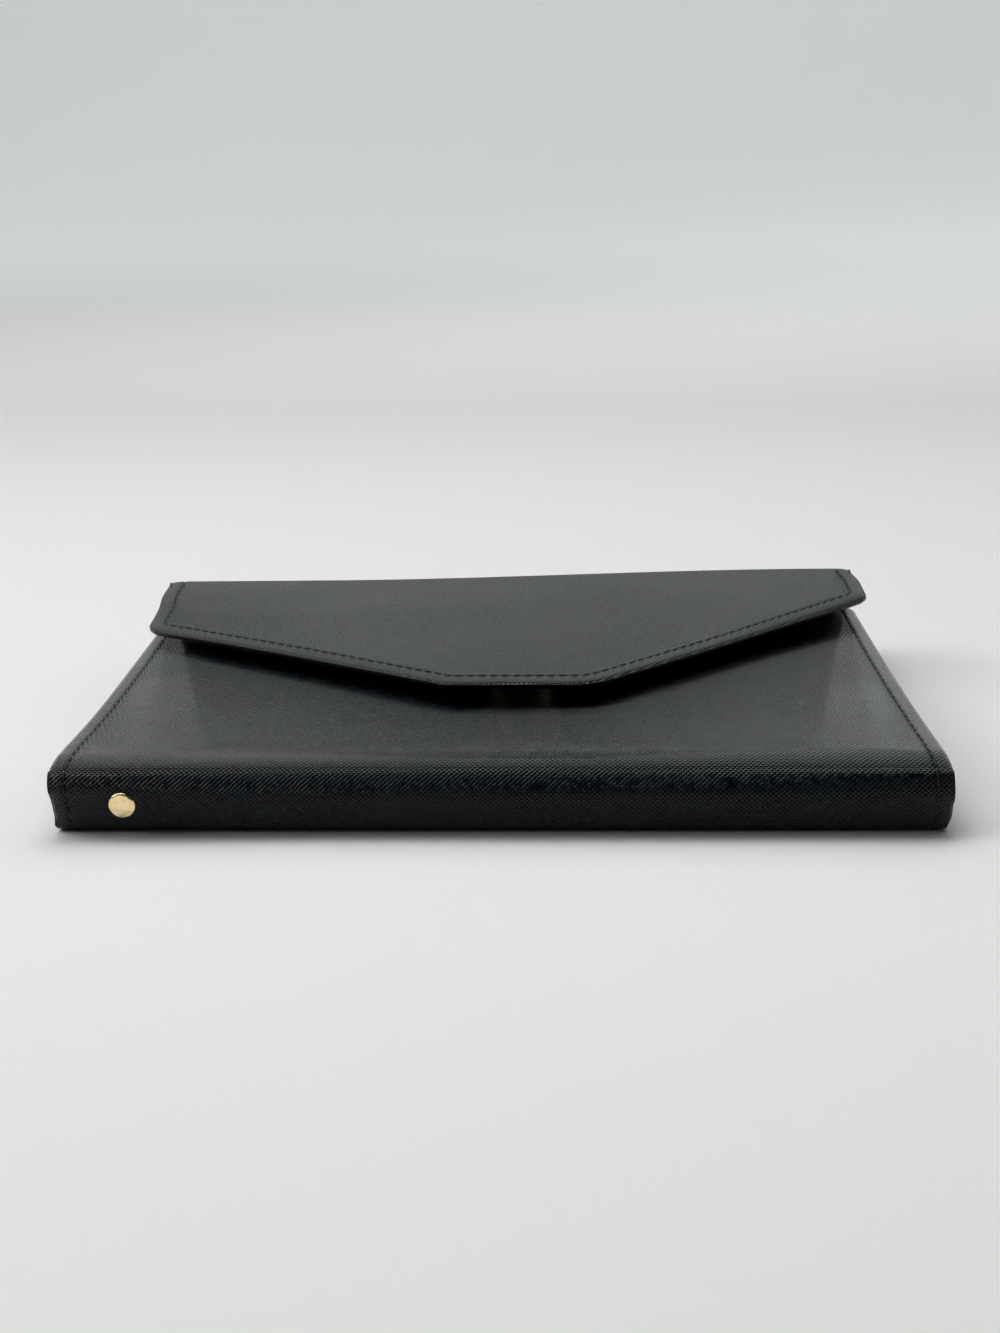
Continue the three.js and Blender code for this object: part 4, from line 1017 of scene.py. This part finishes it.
def stitch_row(name, lines, pitch=STITCH_PITCH, length=STITCH_LENGTH, thickness=STITCH_THICKNESS):
    """Rows of stitches along lines of (points in millimetres, outward directions), as one plain mesh."""
    values = {"Pitch": pitch * MM, "Length": length * MM, "Thickness": thickness * MM,
              "Slant": STITCH_SLANT, "Thread": THREAD}
    points, outwards = zip(*lines)
    piece = linked(name, grown(name, points, STITCH_TREE, values, outwards))
    return piece


def stitch_line(surface, outline, inset, sunk):
    """The line at a distance inside an outline's free edges, laid on the outer face, as points in order."""
    v = np.linspace(0, surface.end, STITCH_SPOTS)
    left, right = (outline.width_at(v, side, inset) for side in (-1, 1))
    kept = outline.distance(left, v) > inset - 0.02
    closed = not kept.all()
    count = int(np.argmin(kept)) if closed else len(v)
    left = np.stack([left, v], -1)[:count]
    right = np.stack([right, v], -1)[:count]
    lines = []
    for line in [np.concatenate([left, right[::-1]])] if closed else [left, right]:
        points, normal = surface.grid(line[:, 0], line[:, 1])
        lines.append((points + normal * sunk, -normal))
    return lines


def inner_lines(surface, outline, inset):
    """The same line where the thread comes out of the lining."""
    through = stitch_line(surface, outline, inset, PANEL_LEATHER + LINING - THREAD_PROUD)
    return [(points, -outwards) for points, outwards in through]


def build_stitches():
    for key, (surface, outline_for, stitch, free_end) in PIECES.items():
        sunk = STITCH_SUNK if free_end else UNDERSIDE_SUNK
        lines = stitch_line(surface, outline_for(0.0), stitch, sunk)
        row = stitch_row(key + "_stitches", lines)
        bend(row)
        inner = stitch_row(key + "_inner_stitches", inner_lines(surface, outline_for(0.0), stitch))
        bend(inner)


def bead_tree():
    """Geometry Nodes tree: a flattened roll of leather along a line, for a pocket's turned mouth."""
    tree, given, result = node_group("turned_bead", Width="NodeSocketFloat", Height="NodeSocketFloat",
                                     Leather="NodeSocketMaterial")
    way = put(tree, "GeometryNodeMeshToCurve", {"Mesh": given["Geometry"]})
    upright = put(tree, "GeometryNodeSetCurveNormal", {"Curve": way.outputs[0]}, mode="Z_UP")
    ring = put(tree, "GeometryNodeCurvePrimitiveCircle", {"Resolution": 12, "Radius": 0.5})
    size = put(tree, "ShaderNodeCombineXYZ", {"X": given["Width"], "Y": given["Height"], "Z": 1.0})
    flat = {"Geometry": ring.outputs["Curve"], "Scale": size.outputs[0]}
    profile = put(tree, "GeometryNodeTransform", flat)
    sweep = {"Curve": upright.outputs[0], "Profile Curve": profile.outputs[0], "Fill Caps": True}
    roll = put(tree, "GeometryNodeCurveToMesh", sweep)
    rounded = put(tree, "GeometryNodeSetShadeSmooth", {"Geometry": roll.outputs[0]})
    close_group(tree, rounded.outputs[0], given["Leather"], result)
    return tree


BEAD_TREE = bead_tree()


def mouth_bead(name, lines, body):
    """Turned edges along lines of points in millimetres, riding on a body."""
    values = {"Width": MOUTH_WIDTH * MM, "Height": MOUTH_HEIGHT * MM, "Leather": FLAT_LEATHER}
    mesh = grown(name, lines, BEAD_TREE, values)
    bm = bmesh.new()
    bm.from_mesh(mesh)
    bmesh.ops.remove_doubles(bm, verts=bm.verts, dist=1e-7)
    bmesh.ops.recalc_face_normals(bm, faces=bm.faces)
    bm.to_mesh(mesh)
    bm.free()
    piece = linked(name, mesh)
    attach(piece, body)


# Hardware and small pieces taken from the CAD solids with rounded edges

def owner(node):
    """The body that a CAD node rides on."""
    return next(body for body, nodes in BODIES.items() if node in nodes)


def eased(node, width, material):
    """A copy of a CAD solid with its edges rounded, standing for it on the same body."""
    source = frame["nodes"][node]
    bm = bmesh.new()
    bm.from_mesh(source.data)
    bmesh.ops.remove_doubles(bm, verts=bm.verts, dist=1e-7)
    bmesh.ops.dissolve_limit(bm, angle_limit=math.radians(1.0), verts=bm.verts, edges=bm.edges)
    mesh = bpy.data.meshes.new(node + "_finished")
    bm.to_mesh(mesh)
    bm.free()
    mesh.materials.clear()
    mesh.materials.append(material)
    piece = linked(node + "_finished", mesh)
    bevel = piece.modifiers.new("eased", "BEVEL")
    bevel.width = width * MM
    bevel.segments = 2
    bevel.limit_method = "ANGLE"
    bevel.angle_limit = math.radians(35)
    bevel.use_clamp_overlap = True
    bpy.context.view_layer.update()
    result = bpy.data.meshes.new_from_object(piece.evaluated_get(bpy.context.evaluated_depsgraph_get()))
    piece.modifiers.clear()
    piece.data = result
    result.shade_smooth()
    result.set_sharp_from_angle(angle=math.radians(40))
    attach(piece, owner(node))
    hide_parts(node)


def level(corners, z, up):
    """A line through corners (x, y) at one height, with its outward directions for the stitches."""
    points = np.array([(x, y, z) for x, y in corners], float)
    return points, np.tile((0.0, 0.0, float(up)), (len(points), 1))


def loop(node, inset):
    """The corners (x, y) of a closed line inside a CAD node's edges."""
    (x0, x1), (y0, y1), _ = span(node)
    x0, x1, y0, y1 = x0 + inset, x1 - inset, y0 + inset, y1 - inset
    return [(x0, y0), (x1, y0), (x1, y1), (x0, y1), (x0, y0)]


def notched_mouth(node, z):
    """A pocket's mouth with a thumb notch in its middle, as points in order."""
    (left, _), (y0, y1), _ = span(node)
    x, middle = left + MOUTH_INSET, (y0 + y1) / 2
    turns = np.radians(np.linspace(-90, 90, 25))
    radius = THUMB_NOTCH + MOUTH_INSET
    arc = [(left + radius * math.cos(t), middle + radius * math.sin(t), z) for t in turns]
    arc = [q for q in arc if q[0] > x]
    lead = math.sqrt(radius**2 - MOUTH_INSET**2)
    ends = [(x, y0 + MOUTH_END, z), (x, middle - lead, z)]
    back = [(x, middle + lead, z), (x, y1 - MOUTH_END, z)]
    return np.array(ends + arc + back)


def pocket_stitches(name, lines, body):
    """The finer seams of the pockets, riding on a body."""
    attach(stitch_row(name, lines, POCKET_PITCH, POCKET_STITCH_LENGTH, POCKET_THREAD), body)


def build_back_pockets():
    """The stepped card slots on the boarding-pass pocket: turned mouths and the seams that hold them."""
    nodes = ["boarding_pass_pocket", "card_slot_1", "card_slot_2", "card_slot_3"]
    y0, y1 = reach(nodes[0], Y)
    starts = [reach(node, X)[0] for node in nodes] + [reach(nodes[-1], X)[1]]
    lines, mouths = [], []
    for i, node in enumerate(nodes):
        top = reach(node, Z)[1]
        for y in (y0 + POCKET_STITCH, y1 - POCKET_STITCH):
            lines.append(level([(starts[i] + 1.2, y), (starts[i + 1] - 0.2, y)], top + THREAD_PROUD, 1))
        x = starts[i] + MOUTH_INSET
        straight = np.array([(x, y0 + MOUTH_END, top), (x, y1 - MOUTH_END, top)])
        mouths.append(straight if i else notched_mouth(node, top))
    pocket_stitches("card_slot_stitches", lines, "back")
    mouth_bead("card_slot_mouths", mouths, "back")


def build_zip_stitches():
    """Seams round the zip pocket's two leather fields."""
    lines = []
    for node in ("zip_pocket_band", "zip_pocket_front"):
        lines.append(level(loop(node, ZIP_STITCH), reach(node, Z)[1] + THREAD_PROUD, 1))
    pocket_stitches("zip_pocket_stitches", lines, "back")


def build_cover_pockets():
    """Seams of the passport pocket and of the document window, on the cover's inner face."""
    (x0, _), (y0, y1), (low, _) = span("passport_pocket")
    (window, _), _, (frame_low, _) = span("id_window_frame")
    lines = []
    for y in (y0 + POCKET_STITCH, y1 - POCKET_STITCH):
        lines.append(level([(x0 + 1.2, y), (window - 0.6, y)], low - THREAD_PROUD, -1))
    for inset in (POCKET_STITCH, WINDOW_MARGIN - 1.3):
        lines.append(level(loop("id_window_frame", inset), frame_low - THREAD_PROUD, -1))
    pocket_stitches("passport_pocket_stitches", lines, "front_cover")
    mouth_bead("passport_pocket_mouth", [notched_mouth("passport_pocket", low)], "front_cover")


def build_film():
    """The window's film, a little rippled inside its frame."""
    (x0, x1), (y0, y1), (z0, z1) = span("id_window_film")
    xs, ys = np.meshgrid(np.linspace(x0, x1, 40), np.linspace(y0, y1, 48))
    edge = np.minimum(np.minimum(xs - x0, x1 - xs), np.minimum(ys - y0, y1 - ys))
    ripple = 0.09 * np.sin(xs / 7.0 + ys / 15.0) + 0.07 * np.sin(ys / 6.0 - xs / 21.0) + 0.05
    ripple = -np.clip(ripple, 0, 1) * smooth((edge - 4.5) / 5.0)
    lower = np.stack([xs, ys, z0 + ripple], -1)
    upper = np.stack([xs, ys, z1 + ripple], -1)
    flat_map = np.stack([xs, ys], -1)
    film = closed_sheet("id_window_film_sheet", upper, lower, flat_map, FILM)
    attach(film, "front_cover")
    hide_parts("id_window_film")


def build_tapes():
    """Woven zip tapes with the raised cord that the teeth are crimped to."""
    for word, side in (("upper", -1), ("lower", 1)):
        node = "zip_tape_" + word
        (x0, x1), (y0, y1), (z0, z1) = span(node)
        middle, half = (z0 + z1) / 2, (z1 - z0) / 2
        share = np.linspace(0, 1, 26)
        inner = x1 if side < 0 else x0
        from_teeth = share * (x1 - x0)
        cord = 0.12 * np.exp(-(((from_teeth - 0.45) / 0.28) ** 2))
        weave = 0.02 * np.sin(from_teeth * 4.2) * smooth((from_teeth - 1.2) / 1.0)
        ys, along = np.meshgrid(np.linspace(y0, y1, 60), from_teeth, indexing="ij")
        xs = inner + side * along
        rise = (half + cord + weave)[None, :] * np.ones_like(ys)
        upper = np.stack([xs, ys, middle + rise], -1)[:, ::side]
        lower = np.stack([xs, ys, middle - rise], -1)[:, ::side]
        tape = closed_sheet(node + "_cloth", upper, lower, upper[..., :2], TAPE_CLOTH)
        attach(tape, "back")
        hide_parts(node)


def build_pockets():
    for node in ("boarding_pass_pocket", "card_slot_1", "card_slot_2", "card_slot_3", "zip_pocket_gusset",
                 "zip_pocket_front", "zip_pocket_band", "passport_pocket", "id_window_frame"):
        eased(node, 0.12, FLAT_LEATHER)
    eased("key_strap", 0.25, UPRIGHT_LEATHER)
    eased("pen_loop", 0.15, ELASTIC)
    build_back_pockets()
    build_zip_stitches()
    build_cover_pockets()
    build_tapes()
    build_film()


def build_hardware():
    for node in ("clip_eye", "clip_hook", "clip_lever", "zip_pull_tab", "snap_socket",
                 "snap_stud", "rivet_base", "zip_bottom_stop", "zip_top_stop_upper", "zip_top_stop_lower"):
        eased(node, 0.15, GOLD)
    eased("zip_slider_body", 0.1, GOLD)


def paint_kept_nodes():
    """The CAD nodes that stay in view or inside get their finish."""
    finishes = {"_board": BOARD, "washer": GOLD, "zip_teeth": TEETH_GOLD}
    for name, node in frame["nodes"].items():
        for word, material in finishes.items():
            if word in name:
                node.data.materials.clear()
                node.data.materials.append(material)


def build_rivet():
    """The domed rivet cap on the near spine, with its post."""
    (x0, x1), (front, post_tip), (z0, z1) = span("rivet_cap")
    radius = (x1 - x0) / 2
    proud, post_end = NEAR - front, post_tip - NEAR
    crown, crown_rise, rim_drop, seat, post = 0.84, 0.22, 0.5, 0.02, 1.2
    profile = [(0.0, proud)]
    for i in range(1, 9):
        share = i / 8
        profile.append((radius * crown * share, proud - crown_rise * share**2))
    for i in range(1, 9):
        turn = math.pi / 2 * i / 8
        out = crown + (1 - crown) * math.sin(turn)
        profile.append((radius * out, proud - crown_rise - rim_drop * (1 - math.cos(turn))))
    profile += [(radius, 0.12), (radius * 0.97, seat), (post, seat), (post, -post_end), (0.0, -post_end)]
    piece = turned("rivet_cap_finished", profile, 64, RIVET_GOLD)
    # the profile's axis is turned from Z to -Y and set on the spine
    centre = Vector(((x0 + x1) / 2, NEAR, (z0 + z1) / 2)) * MM
    place = Matrix.Translation(centre) @ Matrix.Rotation(math.pi / 2, 4, "X")
    piece.data.transform(place)
    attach(piece, "spine")
    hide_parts("rivet_cap")


def turned(name, profile, steps, material):
    """A closed solid of revolution about Z from (radius, height) points that start and end on the axis."""
    points, rings = [], []
    for radius, height in profile:
        if radius == 0:
            points.append((0, 0, height * MM))
            rings.append([len(points) - 1] * steps)
            continue
        ring = []
        for k in range(steps):
            turn = math.tau * k / steps
            points.append((radius * math.cos(turn) * MM, radius * math.sin(turn) * MM, height * MM))
            ring.append(len(points) - 1)
        rings.append(ring)
    faces = []
    for upper, lower in zip(rings, rings[1:]):
        for k in range(steps):
            n = (k + 1) % steps
            corners = [upper[k], lower[k], lower[n], upper[n]]
            faces.append(list(dict.fromkeys(corners)))
    mesh = bpy.data.meshes.new(name)
    mesh.from_pydata(points, [], faces)
    mesh.shade_smooth()
    mesh.set_sharp_from_angle(angle=math.radians(40))
    mesh.materials.append(material)
    return linked(name, mesh)


# Camera, floor and light

def build_camera():
    """The photograph's camera, as fitted to its straight edges."""
    data = bpy.data.cameras.new("photo_camera")
    data.sensor_fit = "AUTO"
    data.sensor_width = 36.0
    data.lens = CAMERA_FOCAL_PX * data.sensor_width / PHOTO_HEIGHT_PX
    data.clip_start = 0.01
    camera = linked("photo_camera", data)
    pitch, yaw, roll = (math.radians(a) for a in (CAMERA_PITCH, -CAMERA_YAW, CAMERA_ROLL))
    forward = Vector((math.sin(yaw) * math.cos(pitch), math.cos(yaw) * math.cos(pitch), -math.sin(pitch)))
    level = Vector((math.cos(yaw), -math.sin(yaw), 0))
    down = forward.cross(level)
    right = math.cos(roll) * level + math.sin(roll) * down
    lower = -math.sin(roll) * level + math.cos(roll) * down
    turn = Matrix((right, -lower, -forward)).transposed().to_4x4()
    camera.matrix_world = Matrix.Translation(Vector(CAMERA_AT) * MM) @ turn
    bpy.context.scene.camera = camera


def seen_rays(tree):
    """1 for a ray that shows the background: to the eye, in a mirror or through glass."""
    rays = put(tree, "ShaderNodeLightPath").outputs
    mirrored = sums(tree, "MAXIMUM", rays["Is Glossy Ray"], rays["Is Transmission Ray"])
    return sums(tree, "MAXIMUM", rays["Is Camera Ray"], mirrored)


def build_floor():
    """A pale floor that sweeps up into a backdrop behind the object."""
    bm = bmesh.new()
    line = [(-FLOOR_HALF, 0.0), (BACKDROP_AT, 0.0)]
    for i in range(1, 13):
        turn = math.pi / 2 * i / 12
        line.append((BACKDROP_AT + BACKDROP_R * math.sin(turn), BACKDROP_R * (1 - math.cos(turn))))
    line.append((BACKDROP_AT + BACKDROP_R, BACKDROP_HEIGHT))
    rows = [[bm.verts.new((x, y, z)) for x in (-FLOOR_HALF, FLOOR_HALF)] for y, z in line]
    for (a, b), (c, d) in zip(rows, rows[1:]):
        bm.faces.new((a, b, d, c))
    mesh = bpy.data.meshes.new("floor")
    bm.to_mesh(mesh)
    bm.free()
    mesh.shade_smooth()
    material, tree, shader = blank_material("pale_floor", {"Roughness": 0.75, "Specular IOR Level": 0.2})
    place = put(tree, "ShaderNodeTexCoord").outputs["Object"]
    cloud = put(tree, "ShaderNodeTexNoise", {"Vector": place, "Scale": 3.0, "Detail": 2.0})
    pale = mixed(tree, cloud.outputs[0], (0.94, 0.925, 0.92, 1), (0.955, 0.94, 0.935, 1))
    parts = put(tree, "ShaderNodeSeparateXYZ", {0: place})
    # Behind the object the floor's colour turns darker: painted shade towards the backdrop.
    back = ranged(tree, parts.outputs["Y"], -0.1, 0.35, 0.0, 1.0)
    painted(tree, shader, mixed(tree, back, pale, (0.75, 0.735, 0.73, 1)))
    sweep = ranged(tree, parts.outputs["Y"], 0.42, 1.08, 0.0, BACKDROP_GLOW)
    away = put(tree, "ShaderNodeVectorMath", {0: place}, operation="LENGTH").outputs["Value"]
    sweep = sums(tree, "MAXIMUM", sweep, ranged(tree, away, 0.9, 2.0, 0.0, FAR_FLOOR_GLOW))
    glow = sums(tree, "SUBTRACT", sweep, ranged(tree, parts.outputs["Z"], 0.66, 0.9, 0.0, BACKDROP_FADE))
    tree.links.new(sums(tree, "MULTIPLY", glow, seen_rays(tree)), shader.inputs["Emission Strength"])
    shader.inputs["Emission Color"].default_value = (0.94, 1.0, 0.96, 1)
    mesh.materials.append(material)
    linked("floor", mesh)


def area_light(name, at, size, watts, spread, colour):
    """A soft box that faces the object, with a grid that keeps its light off the backdrop."""
    data = bpy.data.lights.new(name, "AREA")
    data.shape = "RECTANGLE"
    data.size, data.size_y = size
    data.energy = watts
    data.spread = math.radians(spread)
    data.color = colour
    lamp = linked(name, data)
    lamp.location = at
    lamp.rotation_euler = Vector([-c for c in at]).to_track_quat("-Z", "Y").to_euler()


def build_light():
    """Soft boxes to the left, behind and above, a little rear sky and a dim front one."""
    world = bpy.data.worlds.new("studio")
    bpy.context.scene.world = world
    world.use_nodes = True
    tree = world.node_tree
    tree.nodes.clear()
    way = put(tree, "ShaderNodeTexCoord").outputs["Generated"]
    rear = put(tree, "ShaderNodeVectorMath", {0: way, 1: (0.0, 0.82, 0.57)}, operation="DOT_PRODUCT")
    share = ranged(tree, rear.outputs["Value"], 0.6, 0.9, 0.0, 1.0)
    level = sums(tree, "MULTIPLY_ADD", share, SKY_REAR - SKY_FRONT, SKY_FRONT)
    tint = mixed(tree, share, (0.80, 0.93, 1.0, 1), (0.92, 1.0, 0.95, 1))
    parts = put(tree, "ShaderNodeSeparateXYZ", {0: way})
    beside = ranged(tree, parts.outputs["Y"], -0.35, -0.15, 0.0, HORIZON)
    low = sums(tree, "MULTIPLY", beside, ranged(tree, parts.outputs["Z"], 0.15, 0.5, 1.0, 0.0))
    level = sums(tree, "MAXIMUM", level, sums(tree, "MULTIPLY", low, seen_rays(tree)))
    sky = put(tree, "ShaderNodeBackground", {"Color": tint, "Strength": level})
    output = put(tree, "ShaderNodeOutputWorld")
    tree.links.new(sky.outputs[0], output.inputs["Surface"])
    area_light("side", (-1.5, 0.3, 0.9), (1.0, 0.9), SIDE_WATTS, 110, (1.0, 0.99, 0.97))
    area_light("rear", (-0.15, 1.15, 1.02), (1.7, 0.4), REAR_WATTS, 90, (0.96, 1.0, 0.97))
    area_light("key", (-0.25, 0.6, 1.2), (1.7, 0.4), KEY_WATTS, 90, (0.97, 1.0, 0.98))
    area_light("fill", (1.1, 0.9, 1.0), (0.8, 0.7), FILL_WATTS, 110, (0.95, 1.0, 0.98))
    bpy.context.scene.view_settings.view_transform = "Standard"


build_camera()
build_leather()
build_lining()
build_boards()
build_spine_board()
build_stitches()
build_pockets()
build_hardware()
build_rivet()
paint_kept_nodes()
build_floor()
build_light()
